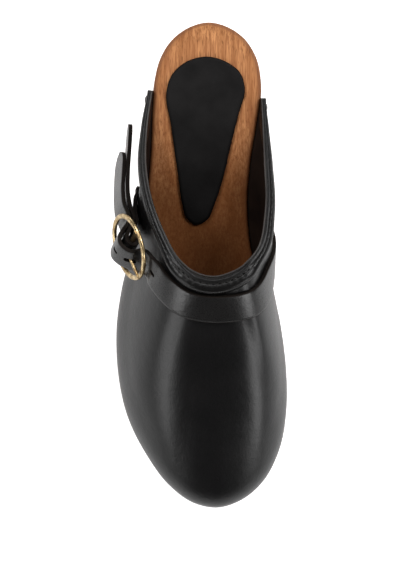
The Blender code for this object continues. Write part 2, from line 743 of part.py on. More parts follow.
def press_on_upper(points):
    """The place and distance down of the spots on the upper that lie nearest to points."""
    samples = []
    for place in np.linspace(RIB_PLACES[0], RIB_PLACES[-1], 120):
        down = np.linspace(0, rib_length(place), 30)
        samples += [(*q, place, d) for q, d in zip(on_rib(rib(place), down), down)]
    samples = np.array(samples)
    step = 0.5 * MM
    found = []
    for point in points:
        nearest = int(np.argmin(np.linalg.norm(samples[:, :3] - point, axis=1)))
        spot = samples[nearest, 3:]
        for _ in range(5):
            here = on_rib(rib(spot[0]), spot[1])[0]
            along = on_rib(rib(spot[0] + step), spot[1])[0] - here
            below = on_rib(rib(spot[0]), spot[1] + step)[0] - here
            slope = np.stack([along, below], axis=1) / step
            spot = spot + np.linalg.lstsq(slope, point - here, rcond=None)[0]
        found.append(spot)
    return found


# The middle of each strap's nailed foot along the sole's edge.
INSTEP_FOOT = outline_place(1, -71)
BUCKLE_FOOT = outline_place(-1, -62)
# Spots that the instep strap passes over, from its nailed inner end to just before the buckle, with its lift above
# the upper.
INSTEP_SPOTS = [
    (27.0, -70.5, 41.8, 0), (28.6, -73.5, 47.0, 0), (31.0, -79.5, 54.0, 0), (34.0, -88.0, 61.0, 0),
    (33.6, -95.5, 67.5, 0), (31.6, -101.6, 73.5, 0), (27.6, -107.8, 80.0, 0), (20.6, -113.4, 86.0, 0),
    (12.5, -115.8, 89.6, 0), (3.8, -116.6, 91.0, 0), (-5.0, -115.8, 90.5, 0), (-12.6, -112.4, 88.5, 0),
    (-18.9, -106.2, 85.4, 0.2), (-23.4, -100.6, 81.8, 0.7),
]
# The strap's course at the buckle, in the buckle's frame: back, down, out, and its slant in degrees. It dips under
# the front of the ring, bulges over the bar and dips under the back of the ring.
INSTEP_BEND = [
    (-15.6, -4.8, -3.6, 16), (-11.7, -3.0, -3.3, 24), (-8.8, -0.9, -1.0, 14), (-6.6, 0, 2.2, 4), (-3.6, 0, 5.4, 0),
    (0, 0, 6.8, 0), (3.6, 0, 5.6, 0), (7, 0, 2.0, 0), (9.5, 0, -1.4, 0), (12.2, 0, -3.5, 0), (16, 0, -3.9, 0),
    (20, 0, -4.1, 0),
]
INSTEP_TAIL = [(27, -0.8, -6.0, 0), (37, -2.8, -10.0, -4), (49, -5.6, -15.4, -6)]


def buckle_keys(keys):
    """Centres and width directions of strap keys given in the buckle's frame."""
    centres = np.array([buckle_point(*key[:3]) for key in keys])
    slant = np.radians([key[3] for key in keys])[:, None]
    return centres, BUCKLE_DOWN * np.cos(slant) - BUCKLE_BACK * np.sin(slant)


def keys_on_upper(spots):
    """Centres and width directions of a strap that runs smoothly over spots on the upper."""
    spots = np.array(spots) * MM
    along = lengths(spots[:, :3])
    dense = through(along, spots, np.linspace(0, along[-1], 3 * len(spots) - 2))
    centres = []
    normals = []
    for (place, down), lift in zip(press_on_upper(dense[:, :3]), dense[:, 3]):
        point, normal = upper_points(place, down, STRAP_LIFT + lift)
        centres.append(point[0])
        normals.append(normal[0])
    centres = np.array(centres)
    return centres, np.cross(np.array(normals), unit(np.gradient(centres, axis=0)))


def instep_keys():
    """Centres and width directions of the instep strap, from its nailed inner end over the instep to its tail."""
    centres, across = keys_on_upper(INSTEP_SPOTS)
    buckle_centres, buckle_across = buckle_keys(INSTEP_BEND + INSTEP_TAIL)
    return np.concatenate([centres, buckle_centres]), np.concatenate([across, buckle_across])


def strap_line(centres, across, count):
    """Stations along a strap given by its key centres and width directions, closer together where it bends."""
    keys = lengths(centres)
    both = np.concatenate([centres, across * MM], axis=1)
    fine = through(keys, both, np.linspace(0, keys[-1], 16 * len(keys)))
    tangent = unit(np.gradient(fine[:, :3], axis=0))
    turning = np.concatenate([[0.0], np.linalg.norm(np.diff(tangent, axis=0), axis=1)])
    cost = lengths(fine[:, :3]) + np.cumsum(turning) * BEND_WEIGHT
    wanted = np.linspace(0, cost[-1], count)
    line = np.stack([np.interp(wanted, cost, fine[:, k]) for k in range(6)], axis=1)
    return line[:, :3], unit(line[:, 3:])


def slit(name, centre, along, out, length, width):
    """A cutter for a round-ended slot through a strap."""
    matrix = facing(centre, out, along)
    shift = matrix.to_3x3() @ Vector(((length - width) / 2, 0, 0))

    def stretched(bm):
        for vertex in add_cylinder(bm, width / 2, -SLIT_DEPTH, SLIT_DEPTH, 10, matrix @ SLIT_TURN):
            ahead = (vertex.co - matrix.translation).dot(shift) > 0
            vertex.co += shift if ahead else -shift

    return cutter_object(name, stretched)


def instep_strap(look):
    """The strap over the instep and, behind the buckle, its free tail as a second solid that can bend outwards."""
    centres, across = strap_line(*instep_keys(), 84)
    along = lengths(centres)
    tangent = unit(np.gradient(centres, axis=0))
    normal = unit(np.cross(tangent, across))
    back = (centres - BUCKLE_CENTRE) @ BUCKLE_BACK

    def length_at(behind_bar):
        return np.interp(behind_bar, back[-30:], along[-30:])

    def at(values, place):
        return np.stack([np.interp(place, along, values[:, k]) for k in range(3)], axis=-1)

    split = length_at(TAIL_START)
    body_stations = np.append(along[along < split - 1.5 * MM], split - TAIL_GAP / 2)
    tail_stations = np.append(split + TAIL_GAP / 2, along[along > split + 1.5 * MM])
    body = ribbon("instep_strap", at(centres, body_stations), at(across, body_stations), look)
    tail = ribbon("instep_strap_tail", at(centres, tail_stations), at(across, tail_stations), look, tip=5)
    pivot = Vector(at(centres, split))
    tail.data.transform(Matrix.Translation(-pivot))
    tail.location = pivot
    for k in range(-2, 3):
        place = length_at(PRONG_HOLE_BACK) + k * HOLE_PITCH
        size = PRONG_HOLE if k == 0 else SPARE_HOLE
        tool = slit(f"strap_slit_{k + 3}", at(centres, place), at(tangent, place), at(normal, place), *size)
        cut(body if place < split else tail, tool)
    return body


# Spots that the buckle strap passes over, from its nailed foot upwards, then its course in the buckle's frame: up to
# the bar, round it and back as a free end.
BUCKLE_SPOTS = [(-35.0, -61.4, 46.2, 0), (-36.0, -64.6, 50.8, 0), (-36.5, -68.6, 55.8, 0.2)]
BUCKLE_STRAP_RISE = [(12.8, 1.4, -8.9, 26), (9.2, 0.2, -7.6, 14), (6.2, 0, -5.2, 5), (3.4, 0, -3.4, 0)]
BUCKLE_STRAP_FREE = [
    (3.0, 0, 1.9, 0), (5.4, 0, 0.0, 0), (8.0, 0, -2.9, 0), (10.6, 0, -5.4, 0), (13.2, 0, -6.3, 0), (16.5, 0, -6.5, 0),
    (26, -1.0, -10.8, 0), (36.5, -3.6, -15.6, 0), (47.6, -6.4, -20.2, 0), (61, -10.0, -25.4, 0),
]
STRAP_FOLD = 2.5             # middle radius of the fold round the bar, in millimetres
FREE_END_UPRIGHT = 0.6       # how far the free end twists from the buckle's plane towards the vertical


def buckle_strap_keys():
    """Centres and width directions of the buckle strap, from its nailed foot round the bar to its free end."""
    fold = []
    for angle in np.radians([-90, -135, 180, 135, 90]):
        fold.append((STRAP_FOLD * np.cos(angle), 0, STRAP_FOLD * np.sin(angle), 0))
    centres, across = keys_on_upper(BUCKLE_SPOTS)
    buckle_centres, buckle_across = buckle_keys(BUCKLE_STRAP_RISE + fold + BUCKLE_STRAP_FREE)
    buckle_across[-4:] = unit(buckle_across[-4:] * (1 - FREE_END_UPRIGHT) - np.array([0, 0, FREE_END_UPRIGHT]))
    return np.concatenate([centres, buckle_centres]), np.concatenate([-across, buckle_across])


def buckle_strap(look):
    """The strap that holds the buckle: nailed to the sole, folded round the bar, with a long free end behind it."""
    line, down = strap_line(*buckle_strap_keys(), 70)
    made = ribbon("buckle_strap", line, down, look, tip=5)
    matrix = facing(buckle_point(-0.7, 0, 0), BUCKLE_OUT, BUCKLE_BACK)
    size = Matrix.Diagonal((9.2 * MM, 2 * PRONG_SLOT, 12.0 * MM, 1.0))
    cut(made, cutter_object("prong_slot", lambda bm: bmesh.ops.create_cube(bm, size=1.0, matrix=matrix @ size)))
    return made


def buckle_frame(look):
    """A round ring with a straight bar across its middle, its origin on the bar's axis."""
    place = facing(BUCKLE_CENTRE, BUCKLE_OUT, BUCKLE_BACK)
    bpy.ops.mesh.primitive_torus_add(
        major_radius=RING_RADIUS, minor_radius=RING_WIRE, major_segments=40, minor_segments=8)
    ring = bpy.context.object
    ring.name = "buckle_frame"
    for collection in list(ring.users_collection):
        collection.objects.unlink(ring)
    COLLECTION.objects.link(ring)
    ring.data.materials.append(look)
    ring.data.shade_smooth()
    ring.matrix_world = place
    axis = facing(BUCKLE_CENTRE, BUCKLE_DOWN, BUCKLE_OUT)
    bar = cutter_object("buckle_bar", lambda bm: add_cylinder(bm, BAR_RADIUS, -RING_RADIUS, RING_RADIUS, 10, axis))
    cut(ring, bar, "UNION")
    return ring


def buckle_prong(look):
    """A bent wire: hooked round the bar, then straight over the front of the ring. Its origin is on the bar's axis."""
    curve = bpy.data.curves.new("buckle_prong", "CURVE")
    curve.dimensions = "3D"
    curve.bevel_depth = PRONG_WIRE
    curve.bevel_resolution = 2
    curve.use_fill_caps = True
    points = []
    for angle in np.radians(np.linspace(-200, 90, 12)):
        points.append((-PRONG_LOOP * np.cos(angle), PRONG_LOOP * np.sin(angle)))
    for back in (-5, -12, -PRONG_REACH / MM):
        points.append((back * MM, PRONG_LOOP))
    spline = curve.splines.new("POLY")
    spline.points.add(len(points) - 1)
    for target, (back, out) in zip(spline.points, points):
        target.co = (back, 0, out, 1)
    spline.points[-1].radius = 0.7
    guide = bpy.data.objects.new("prong_guide", curve)
    COLLECTION.objects.link(guide)
    bpy.context.view_layer.update()
    mesh = bpy.data.meshes.new_from_object(guide.evaluated_get(bpy.context.evaluated_depsgraph_get()))
    bpy.data.objects.remove(guide)
    bm = bmesh.new()
    bm.from_mesh(mesh)
    bmesh.ops.remove_doubles(bm, verts=bm.verts, dist=1e-6)
    bmesh.ops.recalc_face_normals(bm, faces=bm.faces)
    bm.to_mesh(mesh)
    bm.free()
    mesh.shade_smooth()
    mesh.materials.clear()
    mesh.materials.append(look)
    prong = bpy.data.objects.new("buckle_prong", mesh)
    COLLECTION.objects.link(prong)
    prong.matrix_world = facing(BUCKLE_CENTRE, BUCKLE_OUT, BUCKLE_BACK)
    return prong


# ---------------------------------------------------------------- build

for old in list(bpy.data.objects):
    bpy.data.objects.remove(old, do_unlink=True)
bpy.context.scene.collection.children.link(COLLECTION)
bpy.context.scene.collection.children.link(CUTTERS)

WOOD = material("wood", (0.48, 0.23, 0.10), 0.5)
RUBBER = material("rubber", (0.03, 0.028, 0.026), 0.8)
PAD_LEATHER = material("pad_leather", (0.02, 0.02, 0.02), 0.55)
UPPER_LEATHER = material("upper_leather", (0.012, 0.011, 0.012), 0.3)
LINING_LEATHER = material("lining_leather", (0.035, 0.022, 0.018), 0.6)
STIFFENER = material("stiffener", (0.42, 0.36, 0.28), 0.8)
FOAM = material("foam", (0.55, 0.52, 0.45), 0.9)
STRAP_LEATHER = material("strap_leather", (0.016, 0.015, 0.015), 0.4)
BRASS = material("brass", (0.62, 0.45, 0.20), 0.35, 1.0)
DARK_STEEL = material("dark_steel", (0.03, 0.03, 0.03), 0.4, 1.0)
STEEL = material("steel", (0.5, 0.5, 0.5), 0.4, 1.0)

sole_object = wooden_sole(WOOD)
forefoot_outsole(RUBBER)
lift_object = heel_lift(RUBBER)
heel_pad(PAD_LEATHER)
heel_nails(STEEL, lift_object, sole_object)
vamp_object = vamp(UPPER_LEATHER)
lining_object = upper_lining(LINING_LEATHER)
toe_puff(STIFFENER)
collar_band(UPPER_LEATHER)
collar_foam(FOAM)
through_upper = [vamp_object, lining_object, sole_object]
drive_nails("upper_nail", upper_nail_places(), 0.0, DARK_STEEL, through_upper)
instep_object = instep_strap(STRAP_LEATHER)
buckle_strap_object = buckle_strap(STRAP_LEATHER)
strap_face = STRAP_LIFT + STRAP_THICKNESS / 2
drive_nails("instep_strap_nail", foot_nail_places(INSTEP_FOOT), strap_face, DARK_STEEL,
            [instep_object] + through_upper)
drive_nails("buckle_strap_nail", foot_nail_places(BUCKLE_FOOT), strap_face, DARK_STEEL,
            [buckle_strap_object] + through_upper)
buckle_frame(BRASS)
buckle_prong(BRASS)
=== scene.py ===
"""Looks of the heeled wooden clog: fine surfaces and leather, wood and metal finishes round the CAD frame.

Metres. +Z is up, the toe points along -Y, +X is the inner (medial) side. The surfaces follow the CAD part's
curves, sampled finely, with rounded edges, seams, stitches, wear, and painted shade along the sole's and the
pad's edges.
"""

import json
import bpy
import bmesh
import numpy as np
from mathutils import Matrix, Vector


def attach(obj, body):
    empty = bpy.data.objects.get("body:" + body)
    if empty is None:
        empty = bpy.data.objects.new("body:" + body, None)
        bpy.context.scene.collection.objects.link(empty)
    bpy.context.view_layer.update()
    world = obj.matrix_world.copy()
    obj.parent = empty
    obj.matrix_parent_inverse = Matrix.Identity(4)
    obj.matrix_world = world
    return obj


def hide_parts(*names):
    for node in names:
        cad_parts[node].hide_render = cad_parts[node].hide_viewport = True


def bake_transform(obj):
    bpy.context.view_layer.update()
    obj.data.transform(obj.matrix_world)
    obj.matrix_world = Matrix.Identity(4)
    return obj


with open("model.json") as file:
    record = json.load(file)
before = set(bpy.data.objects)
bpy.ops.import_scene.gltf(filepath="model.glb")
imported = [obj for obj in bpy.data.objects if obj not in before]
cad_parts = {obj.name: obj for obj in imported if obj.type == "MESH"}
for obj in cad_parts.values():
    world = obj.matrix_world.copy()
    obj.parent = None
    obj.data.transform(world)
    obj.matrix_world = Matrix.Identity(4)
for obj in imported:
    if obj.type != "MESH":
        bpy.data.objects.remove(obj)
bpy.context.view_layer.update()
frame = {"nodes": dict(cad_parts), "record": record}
JOINTS = {joint["name"]: joint for joint in frame["record"]["behaviour"]["joints"]}

MM = 0.001
GAP = 0.3 * MM

# Sole
REBATE_DROP = 9.0 * MM
REBATE_DEPTH = 3.0 * MM
EDGE_ROUND = 1.2 * MM
HEEL_END = 21.5 * MM
BREAST_Y = -35.0 * MM
HEEL_TAPER = 4.5 * MM
FOREFOOT_TAPER = 1.2 * MM
HEEL_LIFT = 5.7 * MM
OUTSOLE = 3.7 * MM
OUTSOLE_BACK_Y = -94.0 * MM
HEEL_DISH = 1.6 * MM
PAD_THICKNESS = 1.6 * MM
RIM_ROUND = 1.7 * MM         # radius of the wood's rounded edges

# Upper
UPPER_STAND = 3.4 * MM
UPPER_FOOT = 8.2 * MM
UPPER_SEAT = 7.0 * MM
VAMP_THICKNESS = 1.2 * MM
LINING_DEPTH = 1.4 * MM
LINING_THICKNESS = 0.5 * MM
LINING_GAP = 0.05 * MM       # left between the lining's foot and the wood
PUFF_THICKNESS = 0.6 * MM
PUFF_REACH = 45.0 * MM
PAD_AT_THROAT = 1.9 * MM
PAD_AT_WINGS = 0.15 * MM
WING_STAND = 2.4 * MM        # the wings lie closer to the wood than the forefoot's leather
WING_TAPER = 16.0 * MM       # the collar flattens over this length at each wing's end
COLLAR_REACH = 7.4 * MM
NAIL_CLEARANCE = 6.6 * MM
STITCH_PITCH = 3.1 * MM
STITCH_DOWN = 0.75 * MM      # the collar's stitched groove lies this far down from the topline

# Straps and buckle
STRAP_WIDTH = 15.0 * MM
STRAP_THICKNESS = 2.0 * MM
STRAP_LIFT = 1.4 * MM
HOLE_PITCH = 8.5 * MM
PRONG_HOLE = (6.6 * MM, 2.8 * MM)
SPARE_HOLE = (4.2 * MM, 1.8 * MM)
PRONG_HOLE_BACK = -6.6 * MM
BAR_SLOT = (9.2 * MM, 3.0 * MM)
TIP_LENGTH = 9.0 * MM
EASE_PASSES = 60
RING_RADIUS = 15.8 * MM
RING_WIRE = 1.25 * MM
RING_SQUARENESS = 0.72       # 1 is a round wire, less is squarer
BAR_RADIUS = 1.2 * MM
PRONG_WIRE = 0.9 * MM
PRONG_LOOP = 2.3 * MM
PRONG_REACH = 17.6 * MM
BUCKLE_OUT = np.array((-0.877, -0.231, 0.420))
BUCKLE_BACK = np.array((-0.390, 0.850, -0.350))
BUCKLE_CENTRE = np.array(JOINTS["buckle_swing"]["pos_m"])

# Fasteners
NAIL_HEAD = 2.35 * MM
NAIL_DOME = 1.15 * MM
NAIL_STAND = -0.3 * MM       # the leather is drawn in round the nails, so their heads sit low
NAIL_SHANK = 0.7 * MM
NAIL_RISE = 3.4 * MM
NAIL_COUNT = 24
NAIL_MARGIN = 4.5 * MM
END_NAIL_PITCH = 7.5 * MM
END_NAIL_PROUD = 0.9 * MM    # the wings' end nails stand prouder than those round the toe
FOOT_NAIL_SPREAD = 4.0 * MM
DIMPLE_DEPTH = 0.5 * MM      # the leather's hollow round each nail
DIMPLE_RADIUS = 3.4 * MM
FOREFOOT_BULGE = 0.9 * MM    # how far the leather swells out above the forefoot's nails

# How finely surfaces are sampled
UPPER_STATIONS = 300
UPPER_ROWS = 46
COLLAR_STATIONS = 620
SOLE_ROWS = 240
SOLE_COLUMNS = 30

# The footbed's edge seen from above, in millimetres: from the back of the heel round the outer side to the
# toe and back along the inner side.
FOOTBED_OUTLINE = [
    (0.5, 26.0), (-10.0, 23.0), (-17.8, 17.0), (-23.2, 8.5), (-26.2, -3.0), (-27.4, -18.0), (-28.2, -36.0),
    (-30.2, -58.0), (-34.0, -84.0), (-39.6, -108.0), (-42.3, -130.0), (-41.4, -150.0), (-36.8, -171.0),
    (-28.0, -189.0), (-16.0, -205.0), (-5.0, -212.8), (5.2, -214.8), (15.5, -211.5), (25.5, -203.0),
    (32.8, -189.0), (36.4, -170.0), (36.4, -150.0), (33.2, -127.0), (27.2, -105.0), (22.2, -84.0),
    (20.6, -64.0), (21.8, -44.0), (25.0, -24.0), (26.9, -5.0), (24.3, 9.0), (18.0, 18.5), (10.0, 23.8),
]
FOOTBED_HEIGHT = [
    (-218, 33.0), (-200, 30.0), (-175, 27.3), (-150, 26.5), (-130, 27.8), (-110, 32.0), (-90, 39.5),
    (-70, 49.3), (-50, 58.6), (-30, 65.2), (-10, 68.0), (10, 69.0), (30, 69.6),
]
UNDERSIDE_HEIGHT = [
    (-218, 15.5), (-205, 11.0), (-190, 7.4), (-175, 5.2), (-160, 4.0), (-124, 4.0), (-108, 7.0), (-92, 14.0),
    (-75, 23.5), (-58, 31.5), (BREAST_Y / MM, 36.5), (-HEEL_END / MM, 6.0), (30, 6.0),
]
PAD_OUTLINE = [
    (-0.6, 8.9), (-10.6, 6.2), (-17.6, -0.2), (-20.4, -9.0), (-18.2, -25.0), (-14.8, -49.0), (-12.6, -64.0),
    (-10.2, -71.6), (-5.6, -74.8), (-0.6, -72.8), (4.2, -63.5), (8.2, -51.0), (12.0, -35.0), (16.0, -19.0),
    (18.9, -7.4), (16.6, 0.6), (9.4, 6.4),
]
# Key ribs of the upper, from the outer wing's end over the toe to the inner wing's end: side, y of its foot,
# topline point, rise and outward lean of the first handle, and share, outward lean and drop of the second.
KEY_RIBS = [
    (-1, -8, (-29.3, -8.0, 69.8), 1, 0.0, 0.00, 0.0, 1),
    (-1, -26, (-31.8, -26.0, 74.0), 3, 0.2, 0.00, 0.3, 3),
    (-1, -46, (-32.4, -45.0, 79.5), 6, 1.6, 0.00, 2.0, 7),
    (-1, -64, (-30.0, -61.0, 84.5), 9, 2.0, 0.00, 2.4, 11),
    (-1, -84, (-23.4, -79.5, 90.5), 12, 0.3, 0.10, 3.0, 16),
    (-1, -128, (-14.0, -95.2, 96.5), 20, 0.0, 0.38, 0.0, 18),
    (-1, -188, (-6.0, -101.6, 98.8), 26, 1.0, 0.47, 0.0, 30),
    (0, -218, (3.8, -103.6, 99.5), 22, 1.5, 0.44, 0.0, 38),
    (1, -188, (11.8, -101.6, 99.0), 26, 1.0, 0.47, 0.0, 30),
    (1, -140, (18.8, -97.2, 97.6), 28, 1.0, 0.47, 0.0, 16),
    (1, -100, (26.2, -88.5, 94.5), 16, 4.5, 0.00, 8.0, 18),
    (1, -74, (30.6, -69.0, 88.0), 11, 7.0, 0.00, 4.5, 12),
    (1, -48, (30.4, -44.0, 80.0), 7, 5.5, 0.00, 2.5, 7),
    (1, -27, (29.7, -26.0, 74.0), 3, 0.6, 0.00, 0.4, 3),
    (1, -12, (29.0, -12.0, 69.8), 1, 0.0, 0.00, 0.0, 1),
]

BUCKLE_OUT = BUCKLE_OUT / np.linalg.norm(BUCKLE_OUT)
BUCKLE_BACK = BUCKLE_BACK - BUCKLE_OUT * (BUCKLE_BACK @ BUCKLE_OUT)
BUCKLE_BACK = BUCKLE_BACK / np.linalg.norm(BUCKLE_BACK)
BUCKLE_DOWN = np.cross(BUCKLE_OUT, BUCKLE_BACK)


# ---- curves

def unit(v):
    return v / np.linalg.norm(v, axis=-1, keepdims=True)


def through(xs, values, x):
    """A smooth curve through the values given at xs, read at x."""
    xs = np.asarray(xs, float)
    values = np.asarray(values, float)
    x = np.asarray(x, float)
    slopes = np.gradient(values, xs, axis=0)
    i = np.clip(np.searchsorted(xs, x) - 1, 0, len(xs) - 2)
    h = xs[i + 1] - xs[i]
    t = (x - xs[i]) / h
    if values.ndim > 1:
        h = h[..., None]
        t = t[..., None]
    start = values[i] * (2 * t**3 - 3 * t**2 + 1) + slopes[i] * h * (t**3 - 2 * t**2 + t)
    return start + values[i + 1] * (3 * t**2 - 2 * t**3) + slopes[i + 1] * h * (t**3 - t**2)


def lengths(points):
    steps = np.linalg.norm(np.diff(points, axis=0), axis=1)
    return np.concatenate([[0.0], np.cumsum(steps)])


def closed_curve(points, count=720):
    """A smooth closed curve through plan points in millimetres; its points, outward normals and lengths."""
    points = np.asarray(points, float) * MM
    n = len(points)
    wrapped = np.concatenate([points[-3:], points, points[:4]])
    keys = lengths(wrapped)
    fine = through(keys, wrapped, np.linspace(keys[3], keys[n + 3], count + 1))
    tangent = unit(np.roll(fine[:-1], -1, axis=0) - np.roll(fine[:-1], 1, axis=0))
    tangent = np.concatenate([tangent, tangent[:1]])
    normal = np.stack([tangent[:, 1], -tangent[:, 0]], axis=1)
    return fine, normal, lengths(fine)


def smoothstep(x, start, end):
    t = np.clip((x - start) / (end - start), 0, 1)
    return t * t * (3 - 2 * t)


# ---- sole surfaces

SOLE_CURVE = closed_curve(FOOTBED_OUTLINE)
OUTLINE, OUTLINE_NORMAL, OUTLINE_LENGTH = SOLE_CURVE
PAD_CURVE = closed_curve(PAD_OUTLINE)


def footbed_edge_z(y):
    keys = np.array(FOOTBED_HEIGHT) * MM
    return through(keys[:, 0], keys[:, 1], y)


def underside_z(y):
    keys = np.array(UNDERSIDE_HEIGHT) * MM
    front = keys[keys[:, 0] <= BREAST_Y]
    curved = through(front[:, 0], front[:, 1], np.minimum(y, BREAST_Y))
    curved = np.maximum(curved, front[:, 1].min())
    return np.where(y < BREAST_Y, curved, np.interp(y, keys[:, 0], keys[:, 1]))


def side_branches(curve):
    """The outer and inner sides of a closed curve, each running from its back end to its front end."""
    fine, normal, _ = curve
    back = int(np.argmax(fine[:-1, 1]))
    front = int(np.argmin(fine[:-1, 1]))
    n = len(fine) - 1
    outer = [(back + k) % n for k in range((front - back) % n + 1)]
    inner = [(back - k) % n for k in range((back - front) % n + 1)]
    return [(fine[i], normal[i]) for i in (outer, inner)]


def plan_grid(curve, ys, offset, columns):
    """Rows of plan points across a closed curve at each y; offset (a number or f(y)) grows the curve."""
    edges = []
    for points, normals in side_branches(curve):
        order = np.argsort(points[:, 1])
        xy = np.stack([np.interp(ys, points[order, 1], points[order, 0]), ys], axis=1)
        n = np.stack([np.interp(ys, points[order, 1], normals[order, k]) for k in range(2)], axis=1)
        grow = offset(ys) if callable(offset) else np.full(len(ys), offset)
        edges.append(xy + unit(n) * grow[:, None])
    share = np.linspace(0, 1, columns)[None, :, None]
    return edges[0][:, None, :] * (1 - share) + edges[1][:, None, :] * share


def with_height(grid, z):
    return np.concatenate([grid, z(grid)[..., None]], axis=2)


def dished_z(y, width, across):
    """Height of the footbed, which is hollowed at the heel; across runs from -1 to 1 between its edges."""
    depth = HEEL_DISH * smoothstep(y, -110 * MM, -30 * MM) * smoothstep(width, 0.0, 40 * MM)
    return footbed_edge_z(y) - depth * (1 - across**2)


def footbed_z(grid):
    across = np.linspace(-1, 1, grid.shape[1])[None, :]
    return dished_z(grid[..., 1], (grid[:, -1, 0] - grid[:, 0, 0])[:, None], across)


def footbed_under(grid):
    """Height of the footbed's surface under each point of a grid."""
    ys = np.linspace(OUTLINE[:, 1].min(), OUTLINE[:, 1].max(), 600)
    edges = plan_grid(SOLE_CURVE, ys, -EDGE_ROUND, 2)
    left = np.interp(grid[..., 1], ys, edges[:, 0, 0])
    right = np.interp(grid[..., 1], ys, edges[:, 1, 0])
    across = 2 * (grid[..., 0] - left) / (right - left) - 1
    return dished_z(grid[..., 1], right - left, across)


def row_positions(start, end, count, breaks=()):
    """Row places between two y values, closer together near both ends, with extra rows at the breaks."""
    cosine = (1 - np.cos(np.linspace(0, np.pi, count))) / 2
    rows = list(start + (end - start) * cosine)
    for place in breaks:
        nearest = int(np.argmin([abs(r - place) for r in rows]))
        rows[nearest] = place
    return np.array(sorted(rows, reverse=bool(start > end)))


def base_offset(ys):
    return GAP + (REBATE_DEPTH - GAP) * (1 - smoothstep(ys, -100 * MM, -60 * MM))


def bottom_offset(ys):
    taper = FOREFOOT_TAPER + (HEEL_TAPER - FOREFOOT_TAPER) * smoothstep(ys, -110 * MM, -30 * MM)
    return base_offset(ys) - taper


# ---- meshes

def piece(name, vertices, faces, looks, indices=None, edge=None, sharp=40):
    """A shown mesh: its materials, each face's material index and each vertex's share of painted edge shade.
    """
    mesh = bpy.data.meshes.new(name)
    mesh.from_pydata([tuple(v) for v in vertices], [], faces)
    for look in looks:
        mesh.materials.append(look)
    if indices is not None:
        mesh.polygons.foreach_set("material_index", indices)
    wear_and_shade = mesh.attributes.new("wear_and_shade", "FLOAT", "POINT")
    wear_and_shade.data.foreach_set("value", np.zeros(len(vertices)) if edge is None else np.asarray(edge, float))
    bm = bmesh.new()
    bm.from_mesh(mesh)
    bmesh.ops.delete(bm, geom=[v for v in bm.verts if not v.link_faces], context="VERTS")
    bmesh.ops.remove_doubles(bm, verts=bm.verts, dist=1e-6)
    bmesh.ops.recalc_face_normals(bm, faces=bm.faces)
    bm.to_mesh(mesh)
    bm.free()
    mesh.shade_smooth()
    mesh.set_sharp_from_angle(angle=np.radians(sharp))
    made = bpy.data.objects.new(name, mesh)
    bpy.context.scene.collection.objects.link(made)
    return made


def grid_faces(rows, columns, first=0):
    faces = []
    for i in range(rows - 1):
        for j in range(columns - 1):
            a = first + i * columns + j
            faces.append((a, a + 1, a + columns + 1, a + columns))
    return faces


def border(rows, columns):
    """Indices round the edge of a grid."""
    top = [j for j in range(columns)]
    right = [i * columns + columns - 1 for i in range(1, rows)]
    bottom = [(rows - 1) * columns + j for j in range(columns - 2, -1, -1)]
    left = [i * columns for i in range(rows - 2, 0, -1)]
    return top + right + bottom + left


def stacked(levels):
    """Vertices and faces of a solid from equal grids: the first is its top, the last its bottom."""
    rows, columns = levels[0].shape[:2]
    ring = border(rows, columns)
    vertices = np.concatenate([level.reshape(-1, 3) for level in levels])
    size = rows * columns
    faces = grid_faces(rows, columns)
    faces += [tuple(reversed(f)) for f in grid_faces(rows, columns, size * (len(levels) - 1))]
    for k in range(len(levels) - 1):
        for a, b in zip(ring, ring[1:] + ring[:1]):
            faces.append((a + size * k, b + size * k, b + size * (k + 1), a + size * (k + 1)))
    return vertices, faces


def swept(sections, first=0):
    """Faces of a tube through equal closed sections, capped at both ends."""
    count, size = sections.shape[:2]
    faces = []
    for i in range(count - 1):
        for j in range(size):
            k = (j + 1) % size
            a = first + i * size
            faces.append((a + j, a + k, a + size + k, a + size + j))
    faces.append(tuple(first + j for j in range(size - 1, -1, -1)))
    faces.append(tuple(first + (count - 1) * size + j for j in range(size)))
    return faces


def shell(name, outer, inner, looks):
    """A sheet between two equal grids."""
    return piece(name, *stacked([outer, inner]), looks)


def facing(origin, z_axis, x_hint):
    """A matrix at origin with +Z along z_axis and +X near x_hint."""
    z = Vector(z_axis).normalized()
    x = Vector(x_hint)
    x = (x - z * x.dot(z)).normalized()
    y = z.cross(x)
    made = Matrix((x, y, z)).transposed().to_4x4()
    made.translation = Vector(origin)
    return made


def placed(matrix, points):
    m = np.array(matrix)
    return np.asarray(points) @ m[:3, :3].T + m[:3, 3]


def merged(name, parts, looks, sharp=40):
    """One piece from several (vertices, faces) pairs."""
    vertices = []
    faces = []
    for part_vertices, part_faces in parts:
        faces += [tuple(i + len(vertices) for i in face) for face in part_faces]
        vertices += list(part_vertices)
    return piece(name, vertices, faces, looks, sharp=sharp)


# ---- upper surface

def outline_place(side, y):
    """Length along the footbed outline of the point on one side at y; side 0 is the toe's tip."""
    front = int(np.argmin(OUTLINE[:-1, 1]))
    if side == 0:
        return OUTLINE_LENGTH[front]
    part = slice(0, front) if side < 0 else slice(front, len(OUTLINE))
    nearest = int(np.argmin(np.abs(OUTLINE[part, 1] - y * MM)))
    return OUTLINE_LENGTH[part][nearest]


RIB_PLACES = np.array([outline_place(rib[0], rib[1]) for rib in KEY_RIBS])
RIB_TOPS = np.array([rib[2] for rib in KEY_RIBS]) * MM
RIB_SHAPES = np.array([rib[3:] for rib in KEY_RIBS]) * np.array((MM, MM, 1, MM, MM))
RIB_STEPS = np.linspace(0, 1, 49)
TOP_CHORDS = lengths(RIB_TOPS)
INSTEP_FOOT = outline_place(1, -71)
BUCKLE_FOOT = outline_place(-1, -62)


def stand_at(y):
    """How far the upper's face stands out from the footbed's edge."""
    return UPPER_STAND + (WING_STAND - UPPER_STAND) * smoothstep(y, -75 * MM, -40 * MM)


def topline(place):
    """The topline's point above a length along the outline, on a curve smooth along its own chords."""
    return through(TOP_CHORDS, RIB_TOPS, through(RIB_PLACES, TOP_CHORDS, place))


